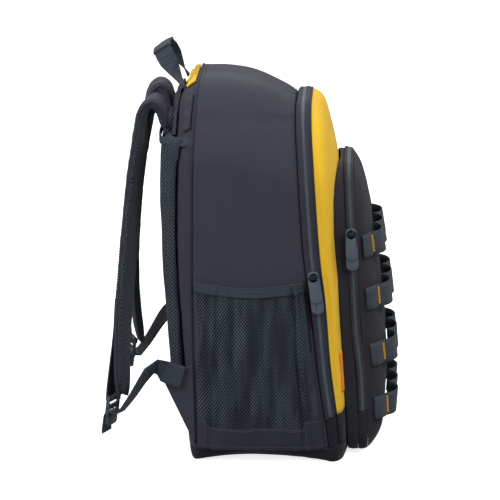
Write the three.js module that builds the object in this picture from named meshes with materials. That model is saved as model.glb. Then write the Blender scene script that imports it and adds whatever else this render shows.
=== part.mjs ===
import * as THREE from "three";

// Tool backpack in millimetres: +Z up, shoulder straps at +Y, front pocket at -Y, wearer's left at -X.
// The origin is on the floor under the middle of the base.

// Sewn edges and cloth
const gap = 0.3;                 // between neighbouring pieces
const seamClear = 0.9;           // between a zip band and the cloth on both sides of it
const layClear = 1.5;            // under a wide piece that lies on a crowned face
const sewnClear = 0.9;           // under a narrow piece sewn to a crowned face
const clothWall = 2.2;           // padded body cloth
const lightWall = 1.6;           // unpadded cloth
const webbingWall = 1.6;
const webbingWidth = 28;

// Main body
const bodyHeight = 458;          // floor to the crest of the top panel
const bodyWidth = 314;           // across the side panels
const bodyDepth = 134;           // front zip seam to back seam, at half height
const shoulderWidth = 106;       // across one rounded top corner
const shoulderDrop = 94;         // down one rounded top corner
const shoulderPower = 1.8;
const baseHeight = 17.5;         // floor to the base seam at the back corners
const baseLift = 12;             // how far the middle of each lower side edge stands off the floor

// Front panel and its zip
const zipBandWidth = 19;
const zipBandCrown = 2.5;
const frontInset = 5;            // front panel's edge in from the side panels
const frontDrop = 28;            // front panel's crest below the body's
const frontHalfWidth = bodyWidth / 2 - frontInset;
const frontHeight = bodyHeight - frontDrop;
const frontFoot = 25;            // floor to the lower edge of the front panel
const frontCrown = 33;
const frontMargin = 150;         // edge of the front panel to where it is fully crowned
const yellowFoot = 61;           // floor to where the coloured cloth starts

// Back
const backCrown = 24;
const backMargin = 150;
const padInset = 16;             // pad's edge in from the side panels
const padDrop = 60;              // pad's top below the body's crest
const padHalfWidth = bodyWidth / 2 - padInset;
const padBottom = 62;
const padTop = bodyHeight - padDrop;
const padThickness = 15;
const padClear = 2.4;            // under the back pad
const padRound = 12;
const yokeDrop = 16;             // yoke's top below the body's crest
const yokeTop = bodyHeight - yokeDrop;
const yokeThickness = 4;
const yokeInset = 15;            // yoke edge in from the body's outline
const bandHeight = 10;
const bandTop = padTop;
const stripDepth = 8;            // of the coloured strip behind the crest
const stripInset = 1.5;          // strip's edge in from the crest
const stripSpare = 12;           // how far the strip runs on round each corner
const flapInset = 2.5;           // zip flap's edge in from the body's outline
const flapDepth = 6.5;
const flapWall = 2;
const flapStand = 0.6;           // flap off the cloth under it

// Front pocket
const pocketHalfWidth = 118;
const pocketHeight = 354;
const pocketFoot = 3;
const pocketShoulderWidth = 70;
const pocketShoulderDrop = 74;
const pocketFootRound = 24;
const pocketCrown = 34;
const pocketZipWidth = 12;
const pocketZipFoot = 57;        // floor to the lower end of the pocket zip

// Webbing rows on the front pocket
const rowHeights = [59, 126, 196, 261];
const rowHalfLength = 112;
const loopPitch = 60;
const loopCount = 3;
const loopBulge = 12;

// Side pockets
const sidePocketTop = 226;
const sidePocketBulge = 13;
const sidePocketWall = 1.5;
const elasticHeight = 12;
const elasticWall = 2.6;
const hemTop = 54;

// Shoulder straps
const strapWidth = 66;
const strapThickness = 12;
const strapInset = 62;           // body centre to the strap centre at its anchor
const strapSpread = 88;          // how much further out the strap ends
const strapReach = 60;           // how far the strap ends behind its anchor
const strapFall = 318;           // anchor to the strap's lower end
const strapAnchorY = 126;
const strapBillow = { left: 0, right: 9 };
const tapeStart = 0.78;          // share of the strap's length where the tape starts
const tapeEnd = 0.83;            // share where it leaves the strap for the lock

// Ladder locks and lower webbing
const lockWidth = 35;
const lockLength = 38;
const lockThickness = 4.4;
const lockSlotWidth = 30;
const lockTilt = 6;              // degrees, foot of the lock outwards
const lockTurn = 18;             // degrees about its own length
const lockDrop = -2;             // top of the lock below the strap's end
const lockOut = 12.5;            // lock behind the middle of the strap's end
const tailLength = { left: 10, right: 33 };  // below the lock
const lowerRise = 33;            // crest of the lower webbing above a straight line
const wingReach = 38;            // how far the lower wing stands behind the body
const wingTop = 122;
const wingFoot = 22;
const wingWall = 2.6;

// Carry handle
const handleHalfSpan = 46;
const handleRise = 51;
const handleLean = 33;           // degrees backwards
const gripHalfLength = 29;
const gripThickness = 5;

// Zip pulls
const sliderLength = 13;
const sliderWidth = 8;
const sliderHeight = 4.4;
const pullerLength = 39;
const pullerWidth = 15;
const pullerThickness = 2.4;
const mainSliderHeight = 236;
const pocketSliderHeight = 279;

// Colours
const charcoal = 0x3a3a44;
const slate = 0x2f3840;
const meshGrey = 0x343c44;
const yellow = 0xf0b92e;
const rubberGrey = 0x55606b;
const orange = 0xe88a1a;

// Where the front and back seams run, against height (shares of bodyHeight and bodyDepth), with how
// wide the body, its zip band and its front and back crowns are there (shares of their named sizes)
const seamRows = [
  { height: 0.0, front: -0.567, back: 0.657, bow: 0.955, zip: 0.7, crown: 0.4, swell: 0.4 },
  { height: 0.11, front: -0.519, back: 0.664, bow: 0.98, zip: 0.78, crown: 0.5, swell: 0.42 },
  { height: 0.26, front: -0.44, back: 0.679, bow: 0.995, zip: 0.86, crown: 0.72, swell: 0.54 },
  { height: 0.45, front: -0.369, back: 0.687, bow: 1.0, zip: 0.96, crown: 0.86, swell: 0.75 },
  { height: 0.545, front: -0.321, back: 0.687, bow: 1.0, zip: 1.0, crown: 0.95, swell: 0.9 },
  { height: 0.8, front: -0.254, back: 0.679, bow: 0.995, zip: 1.0, crown: 1.1, swell: 1.0 },
  { height: 0.92, front: -0.224, back: 0.664, bow: 0.995, zip: 1.0, crown: 1.2, swell: 1.06 },
  { height: 1.0, front: -0.224, back: 0.649, bow: 0.995, zip: 1.0, crown: 1.2, swell: 1.06 },
];

// How the crest, width and base seam change from the front zip to the back seam (shares)
const ringRows = [
  { depth: 0.0, crest: 0.93, width: 0.985, foot: 0.97, lift: 0.05 },
  { depth: 0.14, crest: 0.952, width: 0.995, foot: 0.86, lift: 0.5 },
  { depth: 0.37, crest: 0.98, width: 1.0, foot: 0.85, lift: 0.95 },
  { depth: 0.66, crest: 0.996, width: 1.0, foot: 0.85, lift: 0.95 },
  { depth: 0.9, crest: 1.0, width: 0.995, foot: 0.9, lift: 0.5 },
  { depth: 1.0, crest: 1.0, width: 0.985, foot: 1.0, lift: 0.0 },
];

// How far a crowned panel stands out, against the distance in from its edge (shares)
const frontRows = [
  { inset: 0.0, rise: 0.0 },
  { inset: 0.014, rise: 0.2 },
  { inset: 0.053, rise: 0.36 },
  { inset: 0.133, rise: 0.49 },
  { inset: 0.24, rise: 0.56 },
  { inset: 0.46, rise: 0.84 },
  { inset: 1.0, rise: 1.0 },
];
const backRows = [
  { inset: 0.0, rise: 0.0 },
  { inset: 0.02, rise: 0.21 },
  { inset: 0.053, rise: 0.46 },
  { inset: 0.093, rise: 0.74 },
  { inset: 0.147, rise: 0.88 },
  { inset: 0.27, rise: 0.95 },
  { inset: 1.0, rise: 1.0 },
];
const pocketRows = [
  { inset: 0.0, rise: 0.0 },
  { inset: 0.03, rise: 0.18 },
  { inset: 0.08, rise: 0.42 },
  { inset: 0.16, rise: 0.63 },
  { inset: 0.32, rise: 0.82 },
  { inset: 0.6, rise: 0.96 },
  { inset: 1.0, rise: 1.0 },
];

// The pocket against height (share of pocketHeight): where its zip chain runs (share of bodyDepth)
// and how far its face is crowned (share of pocketCrown)
const pocketZipRows = [
  { height: 0.0, chain: -0.862, crown: 0.98 },
  { height: 0.15, chain: -0.856, crown: 0.84 },
  { height: 0.3, chain: -0.836, crown: 0.82 },
  { height: 0.44, chain: -0.79, crown: 0.86 },
  { height: 0.57, chain: -0.769, crown: 0.81 },
  { height: 0.76, chain: -0.745, crown: 0.62 },
  { height: 1.0, chain: -0.709, crown: 0.52 },
];

// The shoulder strap's centre line: shares of strapFall, strapReach and strapSpread, twist in degrees,
// shares of its width and thickness
const strapRows = [
  { fall: 0.0, reach: 0.0, spread: 0.0, twist: 0, width: 0.94, thick: 1 },
  { fall: -0.046, reach: 0.08, spread: 0.0, twist: 0, width: 0.96, thick: 1 },
  { fall: -0.079, reach: 0.13, spread: 0.005, twist: 0, width: 0.97, thick: 1 },
  { fall: -0.102, reach: 0.24, spread: 0.01, twist: 2, width: 0.97, thick: 1 },
  { fall: -0.09, reach: 0.385, spread: 0.02, twist: 4, width: 0.98, thick: 1 },
  { fall: -0.055, reach: 0.47, spread: 0.03, twist: 6, width: 1.0, thick: 1 },
  { fall: 0.0, reach: 0.515, spread: 0.06, twist: 7, width: 1.0, thick: 1 },
  { fall: 0.093, reach: 0.58, spread: 0.14, twist: 8, width: 1.0, thick: 1 },
  { fall: 0.2, reach: 0.645, spread: 0.24, twist: 9, width: 1.0, thick: 1 },
  { fall: 0.352, reach: 0.71, spread: 0.4, twist: 10, width: 1.0, thick: 1 },
  { fall: 0.505, reach: 0.77, spread: 0.56, twist: 10, width: 1.0, thick: 1 },
  { fall: 0.657, reach: 0.83, spread: 0.71, twist: 9, width: 0.99, thick: 1 },
  { fall: 0.831, reach: 0.865, spread: 0.85, twist: 7, width: 0.96, thick: 1 },
  { fall: 0.96, reach: 0.85, spread: 0.95, twist: 7, width: 0.84, thick: 0.95 },
  { fall: 1.0, reach: 0.82, spread: 1.0, twist: 8, width: 0.5, thick: 0.55 },
];

// The lower webbing from the wing to the ladder lock: shares of the way back, down and in
const lowerRows = [
  { away: 0.0, rise: 0.0, turn: 0 },
  { away: 0.15, rise: 0.3, turn: 2 },
  { away: 0.28, rise: 0.62, turn: 8 },
  { away: 0.4, rise: 0.92, turn: 32 },
  { away: 0.52, rise: 0.98, turn: 52 },
  { away: 0.66, rise: 0.72, turn: 60 },
  { away: 0.82, rise: 0.3, turn: 74 },
];

function mix(a, b, t) {
  return a + (b - a) * t;
}

function point(x, y, z) {
  return new THREE.Vector3(x, y, z);
}

// Smooth reading of a table: the columns of its rows, against the named key column
function reader(rows, key) {
  const names = Object.keys(rows[0]).filter((name) => name !== key);
  const keys = rows.map((row) => row[key]);
  const values = rows.flatMap((row) => names.map((name) => row[name]));
  const curve = new THREE.CubicInterpolant(keys, values, names.length);
  return (at) => {
    const found = curve.evaluate(THREE.MathUtils.clamp(at, keys[0], keys[keys.length - 1]));
    return Object.fromEntries(names.map((name, index) => [name, found[index]]));
  };
}

const seamAt = reader(seamRows, "height");
const ringAt = reader(ringRows, "depth");
const frontAt = reader(frontRows, "inset");
const backAt = reader(backRows, "inset");
const pocketAt = reader(pocketRows, "inset");
const pocketZipAt = reader(pocketZipRows, "height");

// Evenly spaced numbers from one end to the other
function spaced(from, to, steps) {
  return Array.from({ length: steps + 1 }, (_, index) => mix(from, to, index / steps));
}

// Turns every face to point out of the closed solid
function closedGeometry(positions, faces) {
  const corner = (index) => new THREE.Vector3().fromArray(positions, index * 3);
  let volume = 0;
  for (let face = 0; face < faces.length; face += 3) {
    const [a, b, c] = [corner(faces[face]), corner(faces[face + 1]), corner(faces[face + 2])];
    volume += a.dot(b.cross(c));
  }
  const ordered = volume < 0 ? faces.slice().reverse() : faces;
  const geometry = new THREE.BufferGeometry();
  geometry.setAttribute("position", new THREE.Float32BufferAttribute(positions, 3));
  geometry.setIndex(ordered);
  geometry.computeVertexNormals();
  return geometry;
}

// A closed solid between two grids of points. A ring's rows close on themselves, and a solid with
// a middle closes its last row at a centre point.
function solidBetween(outer, inner, { ring = false, middle = false } = {}) {
  const last = outer.length - 1;
  const columns = outer[0].length;
  const spans = ring ? columns : columns - 1;
  const positions = [outer, inner].flatMap((grid) => grid.flat().flatMap((place) => place.toArray()));
  const faces = [];
  const at = (side, row, column) => (side * (last + 1) + row) * columns + (column % columns);
  const quad = (a, b, c, d) => faces.push(a, b, c, a, c, d);
  for (let column = 0; column < spans; column += 1) {
    const next = column + 1;
    for (let row = 0; row < last; row += 1) {
      quad(at(0, row, column), at(0, row, next), at(0, row + 1, next), at(0, row + 1, column));
      quad(at(1, row, column), at(1, row + 1, column), at(1, row + 1, next), at(1, row, next));
    }
    quad(at(0, 0, column), at(1, 0, column), at(1, 0, next), at(0, 0, next));
    if (!middle) {
      quad(at(0, last, column), at(0, last, next), at(1, last, next), at(1, last, column));
    }
  }
  if (!ring) {
    for (let row = 0; row < last; row += 1) {
      quad(at(0, row, 0), at(0, row + 1, 0), at(1, row + 1, 0), at(1, row, 0));
      const end = columns - 1;
      quad(at(0, row, end), at(1, row, end), at(1, row + 1, end), at(0, row + 1, end));
    }
  }
  if (middle) {
    [outer, inner].forEach((grid, side) => {
      const centre = new THREE.Vector3();
      grid[last].forEach((place) => centre.add(place));
      positions.push(...centre.divideScalar(columns).toArray());
      const hub = positions.length / 3 - 1;
      for (let column = 0; column < spans; column += 1) {
        const [a, b] = [at(side, last, column), at(side, last, column + 1)];
        faces.push(...(side === 0 ? [a, b, hub] : [b, a, hub]));
      }
    });
  }
  return closedGeometry(positions, faces);
}

// The same grid moved along its own normals towards a point inside. square names, for the first and
// last row and column, the axis that the move leaves alone, so that seams stay face to face.
function movedIn(rows, distance, inside, { ring = false, square = {} } = {}) {
  const last = rows.length - 1;
  const end = rows[0].length - 1;
  const normalAt = (r, c) => {
    const before = ring ? rows[r][(c + end) % (end + 1)] : rows[r][Math.max(c - 1, 0)];
    const after = ring ? rows[r][(c + 1) % (end + 1)] : rows[r][Math.min(c + 1, end)];
    const rise = rows[Math.min(r + 1, last)][c].clone().sub(rows[Math.max(r - 1, 0)][c]);
    return after.clone().sub(before).cross(rise).normalize();
  };
  const middle = rows[Math.floor(last / 2)][Math.floor(end / 2)];
  const outward = normalAt(Math.floor(last / 2), Math.floor(end / 2)).dot(middle.clone().sub(inside));
  return rows.map((row, r) => row.map((place, c) => {
    const normal = normalAt(r, c);
    const axes = [
      r === 0 && square.first,
      r === last && square.last,
      !ring && c === 0 && square.sides,
      !ring && c === end && square.sides,
    ];
    axes.filter(Boolean).forEach((axis) => { normal[axis] = 0; });
    return place.clone().addScaledVector(normal.normalize(), -Math.sign(outward) * distance);
  }));
}

function wall(rows, thickness, inside, options = {}) {
  return solidBetween(rows, movedIn(rows, thickness, inside, options), options);
}

// A solid through closed sections of equal count, with both ends capped
function loft(sections) {
  const sides = sections[0].length;
  const positions = sections.flat().flatMap((place) => place.toArray());
  const faces = [];
  for (let row = 0; row < sections.length - 1; row += 1) {
    for (let side = 0; side < sides; side += 1) {
      const [a, b] = [row * sides + side, row * sides + ((side + 1) % sides)];
      faces.push(a, b, b + sides, a, b + sides, a + sides);
    }
  }
  const start = (sections.length - 1) * sides;
  for (let side = 1; side < sides - 1; side += 1) {
    faces.push(0, side + 1, side);
    faces.push(start, start + side, start + side + 1);
  }
  return closedGeometry(positions, faces);
}

// Sections of a flat band along stations {at, across, width}, with the corners rounded by a share
function bandSections(stations, thickness, round = 0) {
  const last = stations.length - 1;
  return stations.map(({ at, across, width, thick = 1 }, index) => {
    const ahead = stations[Math.min(index + 1, last)].at;
    const tangent = ahead.clone().sub(stations[Math.max(index - 1, 0)].at).normalize();
    const side = across.clone().addScaledVector(tangent, -across.dot(tangent)).normalize();
    const up = side.clone().cross(tangent);
    const half = width / 2;
    const rise = (thickness * thick) / 2;
    const flat = half - rise * round * 2;
    const corners = round > 0
      ? [[half, rise * 0.45], [flat, rise], [-flat, rise], [-half, rise * 0.45],
        [-half, -rise * 0.45], [-flat, -rise], [flat, -rise], [half, -rise * 0.45]]
      : [[half, rise], [-half, rise], [-half, -rise], [half, -rise]];
    return corners.map(([a, b]) => at.clone().addScaledVector(side, a).addScaledVector(up, b));
  });
}

function webbing(stations, thickness = webbingWall) {
  return loft(bandSections(stations, thickness));
}

// Outlines: an arch with rounded top corners

const bodyArch = { width: shoulderWidth, drop: shoulderDrop, power: shoulderPower };
const sideEnd = 0.45;            // share of a half outline that is the straight side
const crestStart = 0.88;         // share where the flat crest starts

// A point on half of an arch: share 0 at its foot, 1 at the middle of the crest
function archPoint(outline, share) {
  const { half, crest, foot, corner } = outline;
  const spring = crest - corner.drop;
  if (share <= sideEnd) {
    return { x: half, z: mix(foot, spring, share / sideEnd) };
  }
  if (share >= crestStart) {
    return { x: mix(half - corner.width, 0, (share - crestStart) / (1 - crestStart)), z: crest };
  }
  const angle = ((share - sideEnd) / (crestStart - sideEnd)) * (Math.PI / 2);
  const power = 2 / corner.power;
  return {
    x: half - corner.width + corner.width * Math.cos(angle) ** power,
    z: spring + corner.drop * Math.sin(angle) ** power,
  };
}

// The arch's half width at a height, and its height at a distance from the middle
function archHalfAt({ half, crest, corner }, z) {
  const up = (z - (crest - corner.drop)) / corner.drop;
  if (up <= 0) {
    return half;
  }
  const left = Math.max(1 - Math.min(up, 1) ** corner.power, 0);
  return half - corner.width + corner.width * left ** (1 / corner.power);
}

function archTopAt({ half, crest, corner }, x) {
  const out = (Math.abs(x) - (half - corner.width)) / corner.width;
  if (out <= 0) {
    return crest;
  }
  const left = Math.max(1 - Math.min(out, 1) ** corner.power, 0);
  return crest - corner.drop + corner.drop * left ** (1 / corner.power);
}

// Body surface: around the arch (0 left foot, 1 right foot) and from the zip (0) to the back seam (1)

function bodyY(z, depth) {
  const seam = seamAt(z / bodyHeight);
  return bodyDepth * mix(seam.front, seam.back, depth);
}

function bodyBow(z) {
  return seamAt(z / bodyHeight).bow;
}

function bodyOutline(depth) {
  const ring = ringAt(depth);
  return {
    half: (bodyWidth / 2) * ring.width,
    crest: bodyHeight * ring.crest,
    foot: baseHeight * ring.foot,
    corner: bodyArch,
  };
}

function bodyPoint(around, depth) {
  const found = archPoint(bodyOutline(depth), 1 - Math.abs(2 * around - 1));
  const side = around < 0.5 ? -1 : 1;
  return point(side * found.x * bodyBow(found.z), bodyY(found.z, depth), found.z);
}

// A point on the left side panel, straight out at a height
function sidePoint(depth, z, out) {
  const half = bodyOutline(depth).half * bodyBow(z);
  return point(-half - out, bodyY(z, depth), z);
}

// Crowned panels: a point across (-1 to 1) and up (0 to 1), its inner face a wall further in

const frontPanel = {
  outline: { half: frontHalfWidth, crest: frontHeight, foot: frontFoot, corner: bodyArch },
  edge: (z) => bodyY(z, 0) - zipBandWidth * seamAt(z / bodyHeight).zip,
  rise: (inset, z) => -frontCrown * seamAt(z / bodyHeight).crown * frontAt(inset / frontMargin).rise,
  inward: 1,
};
const backPanel = {
  outline: bodyOutline(1),
  edge: (z) => bodyY(z, 1) + gap,
  rise: (inset, z) => backCrown * seamAt(z / bodyHeight).swell * backAt(inset / backMargin).rise,
  inward: -1,
};

function insetOf(outline, x, z) {
  const fromSide = archHalfAt(outline, z) - Math.abs(x);
  const fromTop = archTopAt(outline, x) - z;
  if (fromSide <= 0 || fromTop <= 0) {
    return 0;
  }
  return 1 / Math.hypot(1 / fromSide, 1 / fromTop);
}

function panelY(panel, x, z) {
  const flatX = x / bodyBow(z);
  return panel.edge(z) + panel.rise(insetOf(panel.outline, flatX, z), z);
}

function panelPoint(panel, across, up, wallIn = 0) {
  const { half, crest, foot, corner } = panel.outline;
  const outline = { half: half - wallIn, crest: crest - wallIn, foot, corner };
  const edge = archPoint(outline, up * crestStart);
  const x = across * edge.x;
  const inset = insetOf(outline, x, edge.z);
  const y = panel.edge(edge.z) + panel.rise(inset, edge.z);
  const shift = panel.inward * wallIn * Math.min(inset / 8, 1);
  return point(x * bodyBow(edge.z), y + shift, edge.z);
}

const panelColumns = [0, 0.3, 0.6, 0.8, 0.9, 0.965, 1];
const panelAcross = [...panelColumns.slice(1).reverse().map((share) => -share), ...panelColumns];

function crownedPanel(panel, from, to, steps, wallIn) {
  const ups = spaced(from, to, steps);
  const grid = (inward) => ups.map((up) => panelAcross.map((u) => panelPoint(panel, u, up, inward)));
  return solidBetween(grid(0), grid(wallIn));
}

const bodyMiddle = point(0, 0, bodyHeight / 2);
const archSteps = 32;

const shoulderSeam = 10;         // stations from the foot up to the seam of side and top

// Part of a row of the body, drawn back a little from the shoulder seam at its ends
function besideSeam(row, from, to) {
  const part = row.slice(from, to + 1).map((place) => place.clone());
  const drawBack = (end, next) => end.lerp(next, gap / 2 / end.distanceTo(next));
  if (from > 0) {
    drawBack(part[0], part[1]);
  }
  if (to < archSteps) {
    drawBack(part[part.length - 1], part[part.length - 2]);
  }
  return part;
}

// The body's cloth from one station of the arch to another: a side panel, or the top panel
function bodyPanel(from, to) {
  const outer = spaced(0, 1, 5).map((depth) => {
    return spaced(0, 1, archSteps).map((around) => bodyPoint(around, depth));
  });
  const square = { first: "y", last: "y", sides: "z" };
  const inner = movedIn(outer, clothWall, bodyMiddle, { square });
  const [outerPart, innerPart] = [outer, inner].map((grid) => {
    return grid.map((row) => besideSeam(row, from, to));
  });
  return solidBetween(outerPart, innerPart);
}

// Zip band between the gusset and the front panel, crowned over the chain

function zipPoint(around, share) {
  const back = bodyPoint(around, 0);
  const edge = archPoint(frontPanel.outline, 1 - Math.abs(2 * around - 1));
  const side = around < 0.5 ? -1 : 1;
  const front = point(side * edge.x * bodyBow(edge.z), frontPanel.edge(edge.z), edge.z);
  back.y -= seamClear;
  front.y += seamClear;
  const out = zipBandCrown * Math.sin(Math.PI * share);
  const found = back.lerp(front, share);
  const outward = point(found.x, 0, Math.max(found.z - bodyHeight / 2, 0)).normalize();
  return found.addScaledVector(outward, out);
}

function zipRing(from, to, steps) {
  const rows = spaced(0, 1, 3).map((share) => {
    return spaced(from, to, steps).map((around) => zipPoint(around, share));
  });
  return wall(rows, clothWall, bodyMiddle, { square: { first: "y", last: "y", sides: "z" } });
}

// Share around the arch where a side reaches a height
function aroundAt(outline, z) {
  return (sideEnd / 2) * ((z - outline.foot) / (outline.crest - outline.corner.drop - outline.foot));
}

// Base: a shallow tray under the gusset, zip ends, front and back, with low corners

function baseRim() {
  const depths = spaced(1, 0, 7);
  const left = depths.map((depth) => ({ at: bodyPoint(0, depth), lift: ringAt(depth).lift }));
  const zipFoot = { at: zipPoint(0, 0.5), lift: 0 };
  const acrossList = [-1, -0.9, -0.75, -0.5, -0.25];
  const frontHalf = acrossList.map((across) => ({ at: panelPoint(frontPanel, across, 0), lift: 0 }));
  const backHalf = acrossList.slice(1).map((across) => ({ at: panelPoint(backPanel, across, 0), lift: 0 }));
  const half = [...backHalf.reverse(), ...left, zipFoot, ...frontHalf];
  const mirrored = half.slice().reverse().map(({ at, lift }) => ({ at: point(-at.x, at.y, at.z), lift }));
  const front = { at: panelPoint(frontPanel, 0, 0), lift: 0 };
  const back = { at: panelPoint(backPanel, 0, 0), lift: 0 };
  return [...half, front, ...mirrored, back];
}

function basePanel() {
  const rim = baseRim();
  const middle = point(0, bodyY(baseHeight, 0.45), 0);
  const levels = [
    { reach: 1, drop: 0, flat: 0 },
    { reach: 0.995, drop: 0.6, flat: 0 },
    { reach: 0.975, drop: 1, flat: 0 },
    { reach: 0.93, drop: 1, flat: 0.5 },
    { reach: 0.75, drop: 1, flat: 1 },
  ];
  const rows = levels.map(({ reach, drop, flat }) => rim.map(({ at, lift }) => {
    const place = middle.clone().lerp(at, reach);
    place.z = mix(at.z - gap * 2, baseLift * lift, drop) * (1 - flat);
    return place;
  }));
  const inside = point(0, 0, bodyHeight);
  return wall(rows, lightWall, inside, { ring: true, middle: true, square: { first: "z" } });
}

// Back pad, yoke, strap band and top strip lie on the back panel

function padY(x, z) {
  const fromEdge = Math.min(padHalfWidth - Math.abs(x), z - padBottom, padTop - z);
  const share = THREE.MathUtils.clamp(fromEdge / padRound, 0, 1);
  const rise = padThickness * (0.42 + 0.58 * Math.sin((share * Math.PI) / 2));
  return panelY(backPanel, x, z) + padClear + rise;
}

function backPad() {
  const xs = [-1, -0.97, -0.93, -0.8, -0.5, 0, 0.5, 0.8, 0.93, 0.97, 1].map((share) => share * padHalfWidth);
  const edges = [0, 0.3, 0.7, 1].map((share) => share * padRound);
  const between = spaced(padBottom + padRound, padTop - padRound, 7).slice(1, -1);
  const zs = [...edges.map((e) => padBottom + e), ...between, ...edges.map((e) => padTop - e).reverse()];
  const outer = zs.map((z) => xs.map((x) => point(x, padY(x, z), z)));
  const inner = zs.map((z) => xs.map((x) => point(x, panelY(backPanel, x, z) + padClear, z)));
  return solidBetween(outer, inner);
}

function backYoke() {
  const zs = spaced(padTop + gap, yokeTop, 6);
  const shares = [-1, -0.93, -0.75, -0.4, 0, 0.4, 0.75, 0.93, 1];
  const grid = (rise) => zs.map((z) => shares.map((share) => {
    const x = share * (archHalfAt(backPanel.outline, z + yokeInset) * bodyBow(z) - yokeInset);
    const edge = Math.abs(share) === 1 || z === yokeTop ? 0.55 : 1;
    return point(x, panelY(backPanel, x, z) + layClear + rise * edge, z);
  }));
  return solidBetween(grid(yokeThickness), grid(0));
}

// Runs across the pad's top edge and round to both side seams
function strapBand() {
  const clear = layClear + lightWall / 2;
  const z = bandTop - bandHeight / 2;
  const half = (bodyWidth / 2) * ringAt(1).width * bodyBow(z);
  const onPanel = (inset) => point(-half + inset - clear * 0.7, panelY(backPanel, -half + inset, z) + clear, z);
  const padEdge = padHalfWidth + clear + gap;
  const onPad = [0.995, 0.95, 0.8, 0.5, 0.2].map((share) => {
    const x = -share * padHalfWidth;
    return point(x, padY(x, padTop - padRound) + clear, z);
  });
  const corner = point(-padEdge, panelY(backPanel, -padHalfWidth, z) + padThickness * 0.8, z);
  const left = [point(-half - clear, bodyY(z, 1) + 2, z), onPanel(2), onPanel(6), corner, ...onPad];
  const path = [...left, ...left.slice().reverse().map((at) => point(-at.x, at.y, at.z))];
  const up = point(0, 0, 1);
  return webbing(path.map((at) => ({ at, across: up, width: bandHeight })), lightWall);
}

function topStrip() {
  const halfLength = bodyWidth / 2 - shoulderWidth + stripSpare;
  const insets = spaced(stripInset, stripInset + stripDepth, 3);
  const clear = sewnClear / 2;
  const crest = backPanel.outline.crest;
  const rows = insets.map((inset) => spaced(-halfLength, halfLength, 8).map((x) => {
    const z = archTopAt(backPanel.outline, x / bodyBow(crest)) - inset;
    return point(x, panelY(backPanel, x, z) + lightWall * 0.7 + clear, z + lightWall * 0.7 + clear);
  }));
  return wall(rows, lightWall, bodyMiddle);
}

// Front pocket: a closed outline with stations from the middle of its foot, up the left side

const pocketCorner = { width: pocketShoulderWidth, drop: pocketShoulderDrop, power: 2 };
const pocketMiddle = (pocketFoot + pocketHeight) / 2;

function pocketOutline() {
  const half = pocketHalfWidth;
  const round = pocketFootRound;
  const arc = spaced(0, Math.PI / 2, 3).map((angle) => ({
    x: half - round + round * Math.sin(angle),
    z: pocketFoot + round - round * Math.cos(angle),
  }));
  const spring = pocketHeight - pocketShoulderDrop;
  const low = [{ x: half, z: (pocketFoot + round + pocketZipFoot) / 2 }, { x: half, z: pocketZipFoot }];
  const side = spaced(pocketZipFoot, spring, 5).slice(1).map((z) => ({ x: half, z }));
  const top = spaced(0, Math.PI / 2, 5).slice(1).map((angle) => ({
    x: half - pocketShoulderWidth + pocketShoulderWidth * Math.cos(angle),
    z: spring + pocketShoulderDrop * Math.sin(angle),
  }));
  const flat = [{ x: (half - pocketShoulderWidth) / 2, z: pocketHeight }];
  const foot = spaced(0, half - round, 3).slice(1, -1).map((x) => ({ x, z: pocketFoot }));
  const left = [...foot, ...arc, ...low, ...side, ...top, ...flat].map(({ x, z }) => ({ x: -x, z }));
  const right = left.slice().reverse().map(({ x, z }) => ({ x: -x, z }));
  const zipStart = 1 + foot.length + arc.length + low.length - 1;
  const stations = [{ x: 0, z: pocketFoot }, ...left, { x: 0, z: pocketHeight }, ...right];
  return { stations, zipStart };
}

const pocket = pocketOutline();

function chainY(z) {
  return bodyDepth * pocketZipAt(z / pocketHeight).chain;
}

function pocketRing(stations, rows, ring) {
  const grid = rows.map(({ y, scale }) => stations.map(({ x, z }) => {
    return point(x * scale, y(x, z), pocketMiddle + (z - pocketMiddle) * scale);
  }));
  const inside = point(0, chainY(pocketMiddle), pocketMiddle);
  return wall(grid, lightWall, inside, { ring, square: { first: "y", last: "y", sides: "z" } });
}

const panelFootY = (x, z) => panelY(frontPanel, x, Math.max(z, frontFoot)) - layClear;

function pocketGusset() {
  const front = (x, z) => chainY(z) + pocketZipWidth / 2;
  const rows = [
    { y: panelFootY, scale: 1 },
    { y: (x, z) => mix(panelFootY(x, z), front(x, z), 0.5), scale: 1.006 },
    { y: front, scale: 1 },
  ];
  return pocketRing(pocket.stations, rows, true);
}

function pocketZipPiece(from, to, endShift) {
  const stations = [];
  for (let index = from; index <= to; index += 1) {
    const { x, z } = pocket.stations[(index + pocket.stations.length) % pocket.stations.length];
    stations.push({ x, z: index === from || index === to ? z + endShift : z });
  }
  const rows = [
    { y: (x, z) => chainY(z) + pocketZipWidth / 2 - gap, scale: 1 },
    { y: (x, z) => chainY(z) + pocketZipWidth * 0.2, scale: 1.004 },
    { y: (x, z) => chainY(z) - pocketZipWidth * 0.2, scale: 1.001 },
    { y: (x, z) => chainY(z) - pocketZipWidth / 2, scale: 0.99 },
  ];
  return pocketRing(stations, rows, false);
}

// The pocket face, by the share in from the outline (0 at the edge, 1 at the middle)
function faceEdgeY(z) {
  return chainY(z) - pocketZipWidth / 2 - gap;
}

function faceCrown(z) {
  return pocketCrown * pocketZipAt(z / pocketHeight).crown;
}

function pocketFace() {
  const levels = [...pocketRows.slice(0, -1).map((row) => row.inset), 0.87];
  const rows = levels.map((inset) => pocket.stations.map(({ x, z }) => {
    const scale = 0.99 * (1 - inset);
    const place = point(x * scale, 0, pocketMiddle + (z - pocketMiddle) * scale);
    place.y = faceEdgeY(place.z) - faceCrown(place.z) * pocketAt(inset).rise;
    return place;
  }));
  const inside = point(0, 0, pocketMiddle);
  return wall(rows, lightWall, inside, { ring: true, middle: true, square: { first: "y" } });
}

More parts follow.
